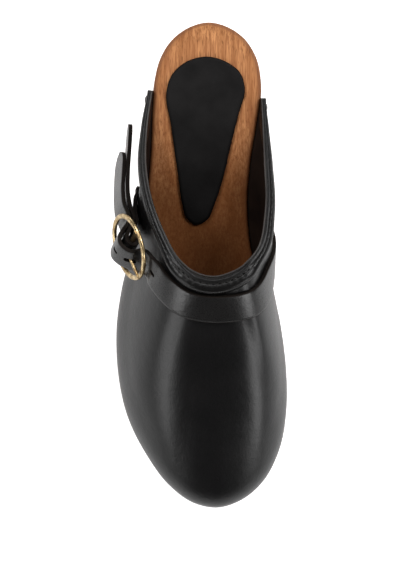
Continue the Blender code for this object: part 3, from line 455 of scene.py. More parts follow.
def rib(place):
    """Points of the upper's face from the topline down to the sole, at a length along the outline."""
    foot = np.array([np.interp(place, OUTLINE_LENGTH, OUTLINE[:, k]) for k in range(2)])
    normal = unit(np.array([np.interp(place, OUTLINE_LENGTH, OUTLINE_NORMAL[:, k]) for k in range(2)]))
    seat_z = footbed_edge_z(foot[1]) - UPPER_FOOT + UPPER_SEAT
    seat = np.array([*(foot + normal * stand_at(foot[1])), seat_z])
    top = topline(place)
    rise, lean, share, top_lean, drop = through(RIB_PLACES, RIB_SHAPES, place)
    out = np.array([*normal, 0.0])
    way = np.array([*(seat - top)[:2], 0.0])
    first = seat + out * lean + np.array([0, 0, rise])
    second = top + way * share + out * top_lean - np.array([0, 0, drop])
    t = RIB_STEPS[:, None]
    arc = (1 - t) ** 3 * top + 3 * (1 - t) ** 2 * t * second + 3 * (1 - t) * t**2 * first + t**3 * seat
    down = np.linspace(0, UPPER_SEAT, 7)[1:, None]
    return np.concatenate([arc, seat - down * np.array([0, 0, 1])])


def rib_length(place):
    return lengths(rib(place))[-1]


def on_rib(points, down):
    """Points at distances down a rib; negative distances run on past the topline."""
    along = lengths(points)
    down = np.atleast_1d(down)
    found = np.stack([np.interp(down, along, points[:, k]) for k in range(3)], axis=1)
    start = unit(points[1] - points[0])
    return found + start * np.minimum(down, 0)[:, None]


def upper_points(place, down, out):
    """Points at distances down from the topline and out from the upper's face, with its normals."""
    step = 0.4 * MM
    down = np.atleast_1d(np.asarray(down, float))
    here = rib(place)
    nxt = on_rib(rib(place + step), down)
    prv = on_rib(rib(place - step), down)
    lower = on_rib(here, down + step)
    upper = on_rib(here, down - step)
    normal = unit(np.cross(nxt - prv, upper - lower))
    centre = on_rib(here, down)
    return centre + normal * np.atleast_1d(out)[:, None], normal


def puff_share(place, down):
    sideways = 1 - smoothstep(abs(place - RIB_PLACES[7]), PUFF_REACH, 1.4 * PUFF_REACH)
    share = down / rib_length(place)
    return sideways * smoothstep(share, 0.22, 0.36) * (1 - smoothstep(share, 0.90, 0.94))


def collar_padding(place):
    middle = RIB_PLACES[7]
    share = np.abs(place - middle) / (RIB_PLACES[-1] - middle)
    return PAD_AT_THROAT + (PAD_AT_WINGS - PAD_AT_THROAT) * smoothstep(share, 0.35, 0.95)


def upper_nail_places():
    """Even places round the sole's edge, doubled at the wings' ends, none under the straps' feet."""
    first = RIB_PLACES[0] + NAIL_MARGIN
    last = RIB_PLACES[-1] - NAIL_MARGIN
    even = np.sort([*np.linspace(first, last, NAIL_COUNT), first + END_NAIL_PITCH, last - END_NAIL_PITCH])
    clear = STRAP_WIDTH / 2 + NAIL_HEAD
    return [place for place in even if min(abs(place - INSTEP_FOOT), abs(place - BUCKLE_FOOT)) > clear]


UPPER_PLACES = np.linspace(RIB_PLACES[0], RIB_PLACES[-1], UPPER_STATIONS)
NAIL_PLACES = upper_nail_places()


# ---- finishes

class Look:
    """A material's node tree, built a node at a time from object coordinates."""

    def __init__(self, name):
        self.material = bpy.data.materials.new(name)
        self.material.use_nodes = True
        self.tree = self.material.node_tree
        self.shader = self.tree.nodes["Principled BSDF"]
        self.place = self.tree.nodes.new("ShaderNodeTexCoord").outputs["Object"]

    def put(self, kind, inputs, **settings):
        node = self.tree.nodes.new("ShaderNode" + kind)
        for key, value in settings.items():
            setattr(node, key, value)
        for key, value in inputs.items():
            self.feed(node, key, value)
        return node

    def feed(self, node, key, value):
        if isinstance(value, bpy.types.NodeSocket):
            self.tree.links.new(value, node.inputs[key])
        else:
            node.inputs[key].default_value = value

    def noise(self, per_mm, stretch=(1, 1, 1), detail=3.0, distortion=0.0):
        """Noise with this many features a millimetre, stretched along an axis where stretch is below 1."""
        scale = tuple(1000 * per_mm * s for s in stretch)
        mapping = self.put("Mapping", {"Vector": self.place, "Scale": scale})
        inputs = {"Vector": mapping.outputs[0], "Scale": 1.0, "Detail": detail, "Distortion": distortion}
        return self.put("TexNoise", inputs).outputs[0]

    def cells(self, per_mm):
        mapping = self.put("Mapping", {"Vector": self.place, "Scale": (1000 * per_mm,) * 3})
        return self.put("TexVoronoi", {"Vector": mapping.outputs[0], "Scale": 1.0}).outputs["Distance"]

    # The mesh attribute that holds each vertex's share of painted shade at the edges.
    def wear_and_shade(self):
        return self.put("Attribute", {}, attribute_name="wear_and_shade").outputs["Fac"]

    def span(self, value, low, high, to_low=0.0, to_high=1.0):
        """Value from low to high, mapped onto to_low..to_high."""
        inputs = {"Value": value, "From Min": low, "From Max": high, "To Min": to_low, "To Max": to_high}
        return self.put("MapRange", inputs).outputs[0]

    def blend(self, share, a, b):
        node = self.put("Mix", {}, data_type="RGBA")
        self.feed(node, 0, share)
        self.feed(node, 6, a if isinstance(a, bpy.types.NodeSocket) else (*a, 1.0))
        self.feed(node, 7, b if isinstance(b, bpy.types.NodeSocket) else (*b, 1.0))
        return node.outputs[2]

    def relief(self, *layers):
        """Bumps from (height, depth in millimetres) layers."""
        normal = None
        for height, depth in layers:
            node = self.put("Bump", {"Height": height, "Distance": depth * MM, "Strength": 1.0})
            if normal:
                self.feed(node, "Normal", normal)
            normal = node.outputs[0]
        self.feed(self.shader, "Normal", normal)

    def set(self, **values):
        for key, value in values.items():
            self.feed(self.shader, key.replace("_", " "), value)


def wood_look():
    look = Look("carved_wood")
    broad = look.noise(0.16, (1, 0.06, 1), 5.0, 0.6)
    streaks = look.noise(1.1, (1, 0.022, 1), 4.0, 0.2)
    pores = look.noise(2.6, (1, 0.06, 1), 2.0)
    colour = look.blend(look.span(broad, 0.34, 0.66), (0.37, 0.150, 0.053), (0.61, 0.280, 0.115))
    colour = look.blend(look.span(streaks, 0.38, 0.62, 0.0, 0.72), colour, (0.26, 0.088, 0.029))
    colour = look.blend(look.span(pores, 0.56, 0.68, 0.0, 0.7), colour, (0.13, 0.043, 0.014))
    # Painted shade: the wood darkens towards the front, where the upper shades the footbed.
    along = look.put("SeparateXYZ", {"Vector": look.place}).outputs["Y"]
    colour = look.blend(look.span(along, 0.0, -0.085, 0.0, 0.72), colour, (0.150, 0.042, 0.010))
    # Painted shade on the sole's rounded rim and sides, darker where the attribute is high.
    colour = look.blend(look.span(look.wear_and_shade(), 0.0, 1.0, 0.0, 0.72), colour, (0.17, 0.060, 0.022))
    look.set(Base_Color=colour, Roughness=look.span(streaks, 0.3, 0.7, 0.42, 0.58), Coat_Weight=0.04,
             Coat_Roughness=0.3, Specular_IOR_Level=0.2)
    look.relief((streaks, 0.05), (pores, 0.04))
    return look.material


def leather_look(name, dark, light, gloss, grain=1.0, coat=0.2, shine=0.25):
    look = Look(name)
    patches = look.noise(0.05, detail=4.0)
    mottle = look.noise(0.3, detail=3.0)
    grains = look.cells(0.9)
    fine = look.noise(2.4, detail=3.0)
    colour = look.blend(look.span(patches, 0.3, 0.7), dark, light)
    look.set(Base_Color=colour, Roughness=look.span(fine, 0.3, 0.7, gloss - 0.06, gloss + 0.08),
             Coat_Weight=coat, Coat_Roughness=0.3, Specular_IOR_Level=shine)
    look.relief((patches, 0.35), (mottle, 0.08), (grains, 0.03 * grain), (fine, 0.02 * grain))
    return look.material


def pad_look():
    look = Look("pad_leather")
    patches = look.noise(0.06, detail=4.0)
    grains = look.cells(1.1)
    colour = look.blend(look.span(patches, 0.3, 0.7), (0.0070, 0.0066, 0.0066), (0.0130, 0.0122, 0.0122))
    # Painted shade on the pad's rounded rim.
    colour = look.blend(look.span(look.wear_and_shade(), 0.0, 1.0, 0.0, 0.8), colour, (0.004, 0.0035, 0.0035))
    look.set(Base_Color=colour, Roughness=look.span(patches, 0.3, 0.7, 0.45, 0.58),
             Specular_IOR_Level=0.1)
    look.relief((patches, 0.2), (grains, 0.04))
    return look.material


def lining_look():
    look = Look("lining_leather")
    nap = look.noise(1.8, detail=6.0)
    shade = look.noise(0.08, detail=3.0)
    colour = look.blend(look.span(shade, 0.3, 0.7), (0.008, 0.005, 0.004), (0.018, 0.010, 0.007))
    colour = look.blend(look.span(nap, 0.35, 0.7, 0.0, 0.5), colour, (0.012, 0.007, 0.005))
    look.set(Base_Color=colour, Roughness=0.88, Specular_IOR_Level=0.05)
    look.relief((nap, 0.08))
    return look.material


def rubber_look(name, tread):
    look = Look(name)
    grime = look.noise(0.12, detail=5.0)
    speckle = look.noise(3.0, detail=2.0)
    colour = look.blend(look.span(grime, 0.3, 0.7), (0.018, 0.016, 0.015), (0.042, 0.037, 0.033))
    look.set(Base_Color=colour, Roughness=look.span(speckle, 0.3, 0.7, 0.65, 0.85))
    bars = look.put("TexWave", {"Vector": look.place, "Scale": 1000 * tread / 20, "Distortion": 0.0},
                    bands_direction="Y", wave_profile="SIN").outputs["Fac"]
    look.relief((look.span(bars, 0.35, 0.65), 0.4), (speckle, 0.05))
    return look.material


def brass_look():
    look = Look("antique_brass")
    patina = look.noise(0.35, detail=6.0)
    scratches = look.noise(2.2, (1, 0.3, 1), 3.0)
    colour = look.blend(look.span(patina, 0.38, 0.64), (0.62, 0.48, 0.27), (0.26, 0.165, 0.070))
    look.set(Base_Color=colour, Metallic=1.0, Roughness=look.span(patina, 0.3, 0.7, 0.22, 0.42))
    look.relief((scratches, 0.01), (patina, 0.015))
    return look.material


def steel_look(name, dark, light, rough):
    look = Look(name)
    wear_and_shade = look.noise(0.7, detail=5.0)
    fine = look.noise(3.5, detail=2.0)
    colour = look.blend(look.span(wear_and_shade, 0.40, 0.66), dark, light)
    look.set(Base_Color=colour, Metallic=0.85, Roughness=look.span(fine, 0.3, 0.7, rough - 0.08, rough + 0.1))
    look.relief((wear_and_shade, 0.08), (fine, 0.02))
    return look.material


def fibre_look(name, dark, light, per_mm=1.4, detail=6.0, rough=0.9, depth=0.15, shine=0.5):
    look = Look(name)
    fibres = look.noise(per_mm, detail=detail)
    colour = look.blend(look.span(fibres, 0.3, 0.7), dark, light)
    look.set(Base_Color=colour, Roughness=rough, Specular_IOR_Level=shine)
    look.relief((fibres, depth))
    return look.material


WOOD = wood_look()
UPPER_LEATHER = leather_look("upper_leather", (0.0035, 0.0033, 0.0035), (0.0060, 0.0056, 0.0058), 0.34)
COLLAR_LEATHER = leather_look(
    "collar_leather", (0.0030, 0.0028, 0.0028), (0.0070, 0.0064, 0.0062), 0.30, 1.4, 0.05, 0.2)
STRAP_LEATHER = leather_look(
    "strap_leather", (0.0060, 0.0056, 0.0056), (0.0110, 0.0102, 0.0100), 0.30, 1.2, 0.25, 0.35)
# The bead's leather is painted lighter: a painted highlight along the binding's inner edge.
BEAD_PAINTED_HIGHLIGHT = leather_look("bead_painted_highlight", (0.034, 0.030, 0.028), (0.066, 0.059, 0.055), 0.45, 1.0, 0.1)
RAW_EDGE = fibre_look(
    "raw_leather_edge", (0.0045, 0.0035, 0.0030), (0.0140, 0.0095, 0.0070), 1.6, 5.0, 0.8, 0.12, 0.15)
PAD_LEATHER = pad_look()
LINING = lining_look()
OUTSOLE_RUBBER = rubber_look("outsole_rubber", 0.16)
LIFT_RUBBER = rubber_look("lift_rubber", 0.3)
BRASS = brass_look()
DARK_STEEL = steel_look("blackened_steel", (0.020, 0.019, 0.018), (0.16, 0.15, 0.14), 0.34)
STEEL = steel_look("plain_steel", (0.30, 0.29, 0.28), (0.50, 0.49, 0.47), 0.42)
STIFFENER = fibre_look("stiffener_fibre", (0.30, 0.25, 0.18), (0.48, 0.42, 0.32))
FOAM = fibre_look("foam_filling", (0.42, 0.40, 0.34), (0.62, 0.58, 0.50))
THREAD = fibre_look("waxed_thread", (0.006, 0.005, 0.005), (0.030, 0.026, 0.024), 4.0, 2.0, 0.55, 0.05)


# ---- sole parts

def quarter(low, high, steps=6):
    """Shares (in, down) of a quarter round from its top to its side."""
    angles = np.linspace(low, high, steps)
    return [(1 - np.sin(a), 1 - np.cos(a)) for a in angles]


def wooden_sole():
    start = OUTLINE[:, 1].max()
    end = OUTLINE[:, 1].min()
    rows = row_positions(start, end, SOLE_ROWS, (-HEEL_END, BREAST_Y, -58 * MM, -124 * MM, -160 * MM))
    levels = []
    wear_and_shade = []

    def add(offset, z, shade_share):
        levels.append(with_height(plan_grid(SOLE_CURVE, rows, offset, SOLE_COLUMNS), z))
        wear_and_shade.append(np.full(levels[-1].shape[:2], shade_share))

    # Each level's share of painted shade: darkest on the rounded rim, less on the bottom edge and the sides.
    add(-RIM_ROUND, footbed_z, 0.0)
    wear_and_shade[0][:, [0, -1]] = 0.45
    for inward, down in quarter(0.25, np.pi / 2):
        add(-RIM_ROUND * inward, lambda g, d=down: footbed_edge_z(g[..., 1]) - RIM_ROUND * d, 0.95)
    add(0.0, lambda g: footbed_edge_z(g[..., 1]) - 3.2 * MM, 0.35)
    add(0.0, lambda g: footbed_edge_z(g[..., 1]) - REBATE_DROP, 0.2)
    add(base_offset, lambda g: footbed_edge_z(g[..., 1]) - REBATE_DROP, 0.2)
    share = np.linspace(0.0, 1.0, 9)[1:-1]
    for s in share:
        add(lambda ys, s=s: base_offset(ys) * (1 - s) + (bottom_offset(ys) + 0.2 * MM) * s,
            lambda g, s=s: (footbed_edge_z(g[..., 1]) - REBATE_DROP) * (1 - s)
            + (underside_z(g[..., 1]) + RIM_ROUND) * s, 0.0)
    for inward, down in reversed(quarter(0.0, np.pi / 2)):
        add(lambda ys, i=inward: bottom_offset(ys) + 0.2 * MM - RIM_ROUND * i,
            lambda g, d=down: underside_z(g[..., 1]) + RIM_ROUND * d, 0.4)
    shade_share = np.concatenate([w.ravel() for w in wear_and_shade])
    made = piece("carved_sole", *stacked(levels), [WOOD], edge=shade_share)
    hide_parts("wooden_sole")
    return made


def rubber_side(ys):
    return bottom_offset(ys) - 0.2 * MM


def rounded_slab(name, node, rows, top, bottom, look):
    """A flat slab with rounded edges; top and bottom are heights over a grid."""
    edge = 0.9 * MM
    levels = []
    for inward, down in quarter(0.0, np.pi / 2, 4):
        grid = plan_grid(SOLE_CURVE, rows, lambda ys, i=inward: rubber_side(ys) - 0.3 * edge * i, 16)
        levels.append(with_height(grid, lambda g, d=down: top(g) - 0.3 * edge * d))
    for inward, down in reversed(quarter(0.0, np.pi / 2, 5)):
        grid = plan_grid(SOLE_CURVE, rows, lambda ys, i=inward: rubber_side(ys) - edge * i, 16)
        levels.append(with_height(grid, lambda g, d=down: bottom(g) + edge * d))
    made = piece(name, *stacked(levels), [look])
    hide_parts(node)
    return made


def outsole():
    rows = row_positions(OUTSOLE_BACK_Y, OUTLINE[:, 1].min(), 110, (-124 * MM, -160 * MM))
    thickness = OUTSOLE - 2.3 * MM * smoothstep(rows, -118 * MM, OUTSOLE_BACK_Y)[:, None]

    def glued(grid):
        return underside_z(grid[..., 1]) - GAP

    def ground(grid):
        return glued(grid) - thickness

    return rounded_slab("outsole", "forefoot_outsole", rows, glued, ground, OUTSOLE_RUBBER)


def top_lift():
    rows = row_positions(OUTLINE[:, 1].max(), -HEEL_END, 70)

    def level(height):
        return lambda grid: np.full(grid.shape[:2], height)

    return rounded_slab("heel_top_lift", "heel_lift", rows, level(HEEL_LIFT), level(0.0), LIFT_RUBBER)


# The pad's rounded edge: how far in, share of its height, and share of painted shade on its rim
PAD_EDGE = [
    (1.5, 1.0, 0.1), (0.9, 0.97, 0.7), (0.4, 0.85, 1.0), (0.1, 0.62, 1.0), (0, 0.35, 1.0), (0, 0.0, 1.0),
]


def heel_pad():
    fine = PAD_CURVE[0]
    rows = row_positions(fine[:, 1].max(), fine[:, 1].min(), 90)
    levels = []
    wear_and_shade = []
    for inward, height, shade_share in PAD_EDGE:
        grid = plan_grid(PAD_CURVE, rows, -inward * MM, 34)
        levels.append(with_height(
            grid, lambda g, h=height: footbed_under(g) + GAP * 0.5 + (PAD_THICKNESS + GAP * 0.5) * h))
        wear_and_shade.append(np.full(grid.shape[:2], shade_share))
    wear_and_shade[0][1:-1, 1:-1] = 0.0
    shade_share = np.concatenate([w.ravel() for w in wear_and_shade])
    made = piece("heel_pad_cover", *stacked(levels), [PAD_LEATHER], edge=shade_share)
    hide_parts("heel_pad")
    return made


# ---- upper parts

def nail_dimple(place, down, length):
    """How far the leather is drawn in round the nails, less its bulge above those of the forefoot."""
    depth = np.zeros(len(down))
    for nail in NAIL_PLACES:
        reach = np.hypot(place - nail, down - (length - NAIL_RISE)) / DIMPLE_RADIUS
        depth += DIMPLE_DEPTH * np.exp(-reach**2)
    forefoot = smoothstep(place, outline_place(-1, -85), outline_place(-1, -110))
    forefoot *= 1 - smoothstep(place, outline_place(1, -110), outline_place(1, -85))
    above = (length - down) / MM
    bulge = smoothstep(above, 5.5, 9.5) * (1 - smoothstep(above, 14.0, 34.0))
    return depth - FOREFOOT_BULGE * forefoot * bulge


def upper_grids(places, start, depths):
    """Grids on the upper from a distance down to its foot, one for each depth below its outer surface."""
    grids = [[] for _ in depths]
    for place in places:
        length = rib_length(place)
        share = np.linspace(0, 1, UPPER_ROWS)
        down = start + (length - start) * share
        for grid, depth in zip(grids, depths):
            inward = depth(place, down, length) if callable(depth) else np.full(len(down), depth)
            grid.append(upper_points(place, down, -inward)[0])
    return [np.array(grid) for grid in grids]


def vamp():
    outer, inner = upper_grids(UPPER_PLACES, GAP, [nail_dimple, VAMP_THICKNESS])
    made = shell("vamp_leather", outer, inner, [UPPER_LEATHER])
    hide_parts("vamp")
    return made


def foot_reach(place):
    """How far the lining draws in to lie against the wood at its foot."""
    y = np.interp(place, OUTLINE_LENGTH, OUTLINE[:, 1])
    return stand_at(y) - LINING_DEPTH - LINING_THICKNESS - LINING_GAP


def lining():
    def depth(extra):
        return lambda place, down, length: (
            LINING_DEPTH + extra + (PUFF_THICKNESS + GAP) * puff_share(place, down)
            + foot_reach(place) * smoothstep(down, length - 12 * MM, length - 6 * MM))
    outer, inner = upper_grids(UPPER_PLACES, GAP, [depth(0.0), depth(LINING_THICKNESS)])
    made = shell("lining_sheet", outer, inner, [LINING])
    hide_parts("upper_lining")
    return made


def toe_puff():
    places = [place for place in UPPER_PLACES if puff_share(place, 0.5 * rib_length(place)) > 0.99]
    grids = [[], []]
    for place in places:
        down = rib_length(place) * np.linspace(0.40, 0.87, 24)
        for grid, depth in zip(grids, (LINING_DEPTH, LINING_DEPTH + PUFF_THICKNESS)):
            grid.append(upper_points(place, down, np.full(len(down), -depth))[0])
    made = shell("toe_stiffener", np.array(grids[0]), np.array(grids[1]), [STIFFENER])
    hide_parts("toe_puff")
    return made


def collar_room(place):
    return np.clip((rib_length(place) - NAIL_CLEARANCE) / COLLAR_REACH, 0.25, 1)


def throat_share(place):
    """1 over the instep, falling to 0 along the wings."""
    middle = RIB_PLACES[7]
    return 1 - smoothstep(np.abs(place - middle) / (RIB_PLACES[-1] - middle), 0.15, 0.6)


def wing_end(place):
    """0 at the wings' ends, rising to 1 where the collar has its full roll."""
    return smoothstep(min(place - RIB_PLACES[0], RIB_PLACES[-1] - place), 0.0, WING_TAPER)


def flattening(place):
    """What is left of the collar's height towards the wings' ends."""
    return 0.35 + 0.65 * wing_end(place)


def collar_outline(place, pucker):
    """The binding's face: (down, out) from its inner edge over bead, band and groove to the roll."""
    inside = -(2.45 + 1.6 * throat_share(place))
    p = collar_padding(place) / MM
    outline = np.array([
        (5.2, inside), (2.5, inside), (0.3, inside), (-0.45, inside + 0.05), (-0.98, inside + 0.34),
        (-1.18, inside + 0.76), (-0.86, inside + 1.08), (-1.02, inside + 1.30), (-1.12, inside * 0.45),
        (-0.98, -0.45), (-0.55, 0.25), (0.05, 0.62 + 0.10 * p), (0.42, 0.74 + 0.22 * p),
        (0.66, 0.18 + 0.16 * p), (0.80, 0.18 + 0.18 * p), (1.08, 0.78 + (0.46 - 0.12 * pucker) * p),
        (1.95, 1.02 + (0.80 - 0.05 * pucker) * p), (3.4, 1.10 + 1.05 * p), (5.0, 0.98 + 0.88 * p),
        (6.4, 0.72 + 0.32 * p), (7.1, 0.32), (7.5, 0.05),
    ])
    outline[outline[:, 1] > 0, 1] *= flattening(place)
    return outline * MM


BEAD_KEYS = range(4, 6)      # the stretches of the outline that form the bead
COLLAR_STEPS = 5             # sampled steps in each stretch
COLLAR_BACK_KEYS = [-1, 11, 8, 3, 0]
COLLAR_BACK_SHIFTS = np.array([(-0.2, -0.15), (0.2, -0.9), (0.7, 0.0), (0.7, 0.7), (-0.1, 0.5)]) * MM


def collar_binding():
    """The padded leather binding round the foot's opening."""
    dense = np.linspace(RIB_PLACES[0], RIB_PLACES[-1], 400)
    top_length = lengths(topline(dense))
    along = np.linspace(0, top_length[-1], COLLAR_STATIONS)
    places = np.interp(along, top_length, dense)
    sections = []
    for place, length in zip(places, along):
        pucker = 0.5 + 0.5 * np.cos(2 * np.pi * length / STITCH_PITCH)
        keys = collar_outline(place, pucker)
        steps = np.arange(len(keys))
        face = through(steps, keys, np.linspace(0, len(keys) - 1, COLLAR_STEPS * (len(keys) - 1) + 1))
        outline = np.concatenate([face, keys[COLLAR_BACK_KEYS] + COLLAR_BACK_SHIFTS])
        down = outline[:, 0] * np.where(outline[:, 0] > 0, collar_room(place), 1)
        sections.append(upper_points(place, down, outline[:, 1])[0])
    sections = np.array(sections)
    faces = swept(sections)
    size = sections.shape[1]
    indices = [int(k % size // COLLAR_STEPS in BEAD_KEYS) for k in range(len(faces) - 2)] + [0, 0]
    looks = [COLLAR_LEATHER, BEAD_PAINTED_HIGHLIGHT]
    made = piece("collar_binding", sections.reshape(-1, 3), faces, looks, indices, sharp=60)
    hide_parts("collar_band")
    return made


def collar_stitching():
    """Stitches lying in the collar's groove, each dipping into the leather at both ends."""
    dense = np.linspace(RIB_PLACES[0] + 4 * MM, RIB_PLACES[-1] - 4 * MM, 500)
    line = np.array([upper_points(p, STITCH_DOWN * collar_room(p), 0.0)[0][0] for p in dense])
    along = lengths(line)
    count = int(along[-1] / STITCH_PITCH)
    parts = []
    for k in range(count):
        middle = (k + 0.5) * STITCH_PITCH
        centres = []
        normals = []
        for s in np.linspace(-1, 1, 7):
            place = np.interp(middle + s * 1.15 * MM, along, dense)
            lift = (0.50 + 0.24 * collar_padding(place) / MM - 0.5 * s**4) * flattening(place) * MM
            point, normal = upper_points(place, STITCH_DOWN * collar_room(place), lift)
            centres.append(point[0])
            normals.append(normal[0])
        parts.append(tube(np.array(centres), np.array(normals), 0.28 * MM, 8))
    return merged("collar_stitching", parts, [THREAD], sharp=80)


def tube(centres, normals, radius, sides):
    """Vertices and faces of a tube along centres; its radius may vary."""
    tangent = unit(np.gradient(centres, axis=0))
    side = unit(np.cross(tangent, normals))
    up = np.cross(side, tangent)
    r = np.broadcast_to(radius, len(centres))[:, None, None]
    angles = np.linspace(0, 2 * np.pi, sides, endpoint=False)
    cos = np.cos(angles)[None, :, None]
    sin = np.sin(angles)[None, :, None]
    sections = centres[:, None, :] + (side[:, None, :] * cos + up[:, None, :] * sin) * r
    return sections.reshape(-1, 3), swept(sections)


def collar_foam():
    sections = []
    for place in UPPER_PLACES[14:-14]:
        p = collar_padding(place) / MM
        outline = np.array([
            (1.4, 0.05), (1.6, 0.10 + 0.2 * p), (2.4, 0.20 + 0.5 * p), (3.6, 0.25 + 0.65 * p),
            (4.8, 0.20 + 0.5 * p), (5.6, 0.10 + 0.1 * p), (5.8, 0.05),
        ]) * MM
        sections.append(upper_points(place, outline[:, 0] * collar_room(place), outline[:, 1])[0])
    sections = np.array(sections)
    made = piece("collar_filling", sections.reshape(-1, 3), swept(sections), [FOAM])
    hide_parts("collar_foam")
    return made


def nail_head(matrix, spin):
    """Vertices and faces of a domed nail with a hammered crown, its shank ending inside the leather."""
    sides = 28
    profile = [(0.05 * MM, -4.5 * MM), (NAIL_SHANK * 0.8, -4.0 * MM), (NAIL_SHANK, NAIL_STAND)]
    profile += [(NAIL_HEAD * 0.93, NAIL_STAND - 0.15 * MM), (NAIL_HEAD, NAIL_STAND)]
    for angle in np.linspace(0.12, np.pi / 2 - 0.04, 9):
        profile.append((NAIL_HEAD * np.cos(angle), NAIL_STAND + NAIL_DOME * np.sin(angle)))
    sections = []
    for radius, height in profile:
        angles = np.linspace(0, 2 * np.pi, sides, endpoint=False) + spin
        dent = 1 + 0.02 * np.cos(3 * angles) * (height > NAIL_STAND)
        sections.append(np.stack([radius * dent * np.cos(angles), radius * dent * np.sin(angles),
                                  np.full(sides, height)], axis=1))
    sections = np.array(sections)
    return placed(matrix, sections.reshape(-1, 3)), swept(sections)


def nails(name, places, out, nodes):
    parts = []
    for k, place in enumerate(places):
        from_end = min(place - RIB_PLACES[0], RIB_PLACES[-1] - place)
        proud = END_NAIL_PROUD if from_end < 2 * END_NAIL_PITCH else 0.0
        point, normal = upper_points(place, rib_length(place) - NAIL_RISE, out + proud)
        parts.append(nail_head(facing(point[0], normal[0], (0, 0, 1)), 0.7 * k))
    made = merged(name, parts, [DARK_STEEL], sharp=50)
    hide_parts(*nodes)
    return made


# ---- straps and buckle

def buckle_point(back, down, out):
    return BUCKLE_CENTRE + (BUCKLE_BACK * back + BUCKLE_DOWN * down + BUCKLE_OUT * out) * MM


def press_on_upper(points):
    """The place and distance down of the spots on the upper that lie nearest to points."""
    samples = []
    for place in np.linspace(RIB_PLACES[0], RIB_PLACES[-1], 120):
        down = np.linspace(0, rib_length(place), 30)
        samples += [(*q, place, d) for q, d in zip(on_rib(rib(place), down), down)]
    samples = np.array(samples)
    step = 0.5 * MM
    found = []
    for point in points:
        nearest = int(np.argmin(np.linalg.norm(samples[:, :3] - point, axis=1)))
        spot = samples[nearest, 3:]
        for _ in range(5):
            here = on_rib(rib(spot[0]), spot[1])[0]
            along = on_rib(rib(spot[0] + step), spot[1])[0] - here
            below = on_rib(rib(spot[0]), spot[1] + step)[0] - here
            slope = np.stack([along, below], axis=1) / step
            spot = spot + np.linalg.lstsq(slope, point - here, rcond=None)[0]
        found.append(spot)
    return found


# Spots that each strap passes over on the upper, with its lift above it, and its course in the buckle's
# frame: back, down, out, and its slant in degrees.
STRAP_OVER_BAR = 6.8
INSTEP_SPOTS = [
    (27.0, -70.5, 41.8, 0), (28.6, -73.5, 47.0, 0), (31.0, -79.5, 54.0, 0), (34.0, -88.0, 61.0, 0),
    (33.6, -95.5, 67.5, 0), (31.6, -101.6, 73.5, 0), (27.6, -107.8, 80.0, 0), (20.6, -113.4, 86.0, 0),
    (12.5, -115.8, 89.6, 0), (3.8, -116.6, 91.0, 0), (-5.0, -115.8, 90.5, 0), (-12.6, -112.4, 88.5, 0),
    (-18.9, -106.2, 85.4, 0.2), (-23.4, -100.6, 81.8, 0.7),
]
INSTEP_BEND = [
    (-15.6, -4.8, -3.6, 16), (-11.7, -3.0, -3.3, 24), (-8.8, -0.9, -1.0, 14), (-6.6, 0, 2.2, 4),
    (-3.6, 0, 5.4, 0), (0, 0, STRAP_OVER_BAR, 0), (3.6, 0, 5.6, 0), (7, 0, 2.0, 0), (9.5, 0, -1.4, 0),
    (12.2, 0, -3.5, 0), (16, 0, -3.9, 0), (20, 0, -4.1, 0), (27, -0.8, -6.0, 0), (37, -2.8, -10.0, -4),
    (49, -5.6, -15.4, -6),
]
BUCKLE_SPOTS = [(-35.0, -61.4, 46.2, 0), (-36.0, -64.6, 50.8, 0), (-36.5, -68.6, 55.8, 0.2)]
BUCKLE_STRAP_RISE = [(12.8, 1.4, -8.9, 26), (9.2, 0.2, -6.9, 14), (6.2, 0, -4.3, 5), (3.4, 0, -3.4, 0)]
BUCKLE_STRAP_FREE = [
    (3.0, 0, 1.9, 0), (5.4, 0, -0.2, 0), (8.0, 0, -2.9, 0), (10.6, 0, -5.4, 0), (13.2, 0, -6.3, 0),
    (16.5, 0, -6.5, 0), (26, -1.0, -9.7, 0), (36.5, -3.6, -13.4, 0), (47.6, -6.4, -18.2, 0),
    (61, -10.0, -24.0, 0),
]
STRAP_FOLD = 2.5             # radius of the buckle strap's fold round the bar
FREE_END_UPRIGHT = 0.6       # how far the buckle strap's free end turns upright


def buckle_keys(keys):
    centres = np.array([buckle_point(*key[:3]) for key in keys])
    slant = np.radians([key[3] for key in keys])[:, None]
    return centres, BUCKLE_DOWN * np.cos(slant) - BUCKLE_BACK * np.sin(slant)


def keys_on_upper(spots):
    """Centres and width directions of a strap that runs smoothly over spots on the upper."""
    spots = np.array(spots) * MM
    along = lengths(spots[:, :3])
    dense = through(along, spots, np.linspace(0, along[-1], 3 * len(spots) - 2))
    centres = []
    normals = []
    for (place, down), lift in zip(press_on_upper(dense[:, :3]), dense[:, 3]):
        point, normal = upper_points(place, down, STRAP_LIFT + lift)
        centres.append(point[0])
        normals.append(normal[0])
    centres = np.array(centres)
    return centres, np.cross(np.array(normals), unit(np.gradient(centres, axis=0)))


def strap_line(centres, across, pitch=0.9 * MM):
    """Evenly spaced stations along a strap given by its key centres and width directions."""
    keys = lengths(centres)
    both = np.concatenate([centres, across * MM], axis=1)
    fine = through(keys, both, np.linspace(0, keys[-1], 40 * len(keys)))
    along = lengths(fine[:, :3])
    wanted = np.linspace(0, along[-1], int(along[-1] / pitch))
    line = np.stack([np.interp(wanted, along, fine[:, k]) for k in range(6)], axis=1)
    return line[:, :3], unit(line[:, 3:])


SECTION_CORNER = 0.38 * MM
SECTION_COLUMNS = 13         # points across each face
SECTION_SIDE = 4             # points down each raw edge
STRAP_CROWN = 0.12 * MM


def strap_section(half, thickness):
    """A strap's section: (across, out) points round a slightly crowned strip with rounded raw edges."""
    t = thickness / 2
    c = SECTION_CORNER
    face = np.linspace(half - c, -(half - c), SECTION_COLUMNS)
    crown = STRAP_CROWN * (1 - (face / half) ** 2)
    top = np.stack([face, t + crown], axis=1)
    bottom = np.stack([face[::-1], np.full(SECTION_COLUMNS, -t)], axis=1)
    corners = [(half - 0.1 * c, -t + 0.45 * c), (half, c - t), (half, t - c), (half - 0.1 * c, t - 0.45 * c)]
    right = np.array(corners)
    return np.concatenate([top, -right, bottom, right])


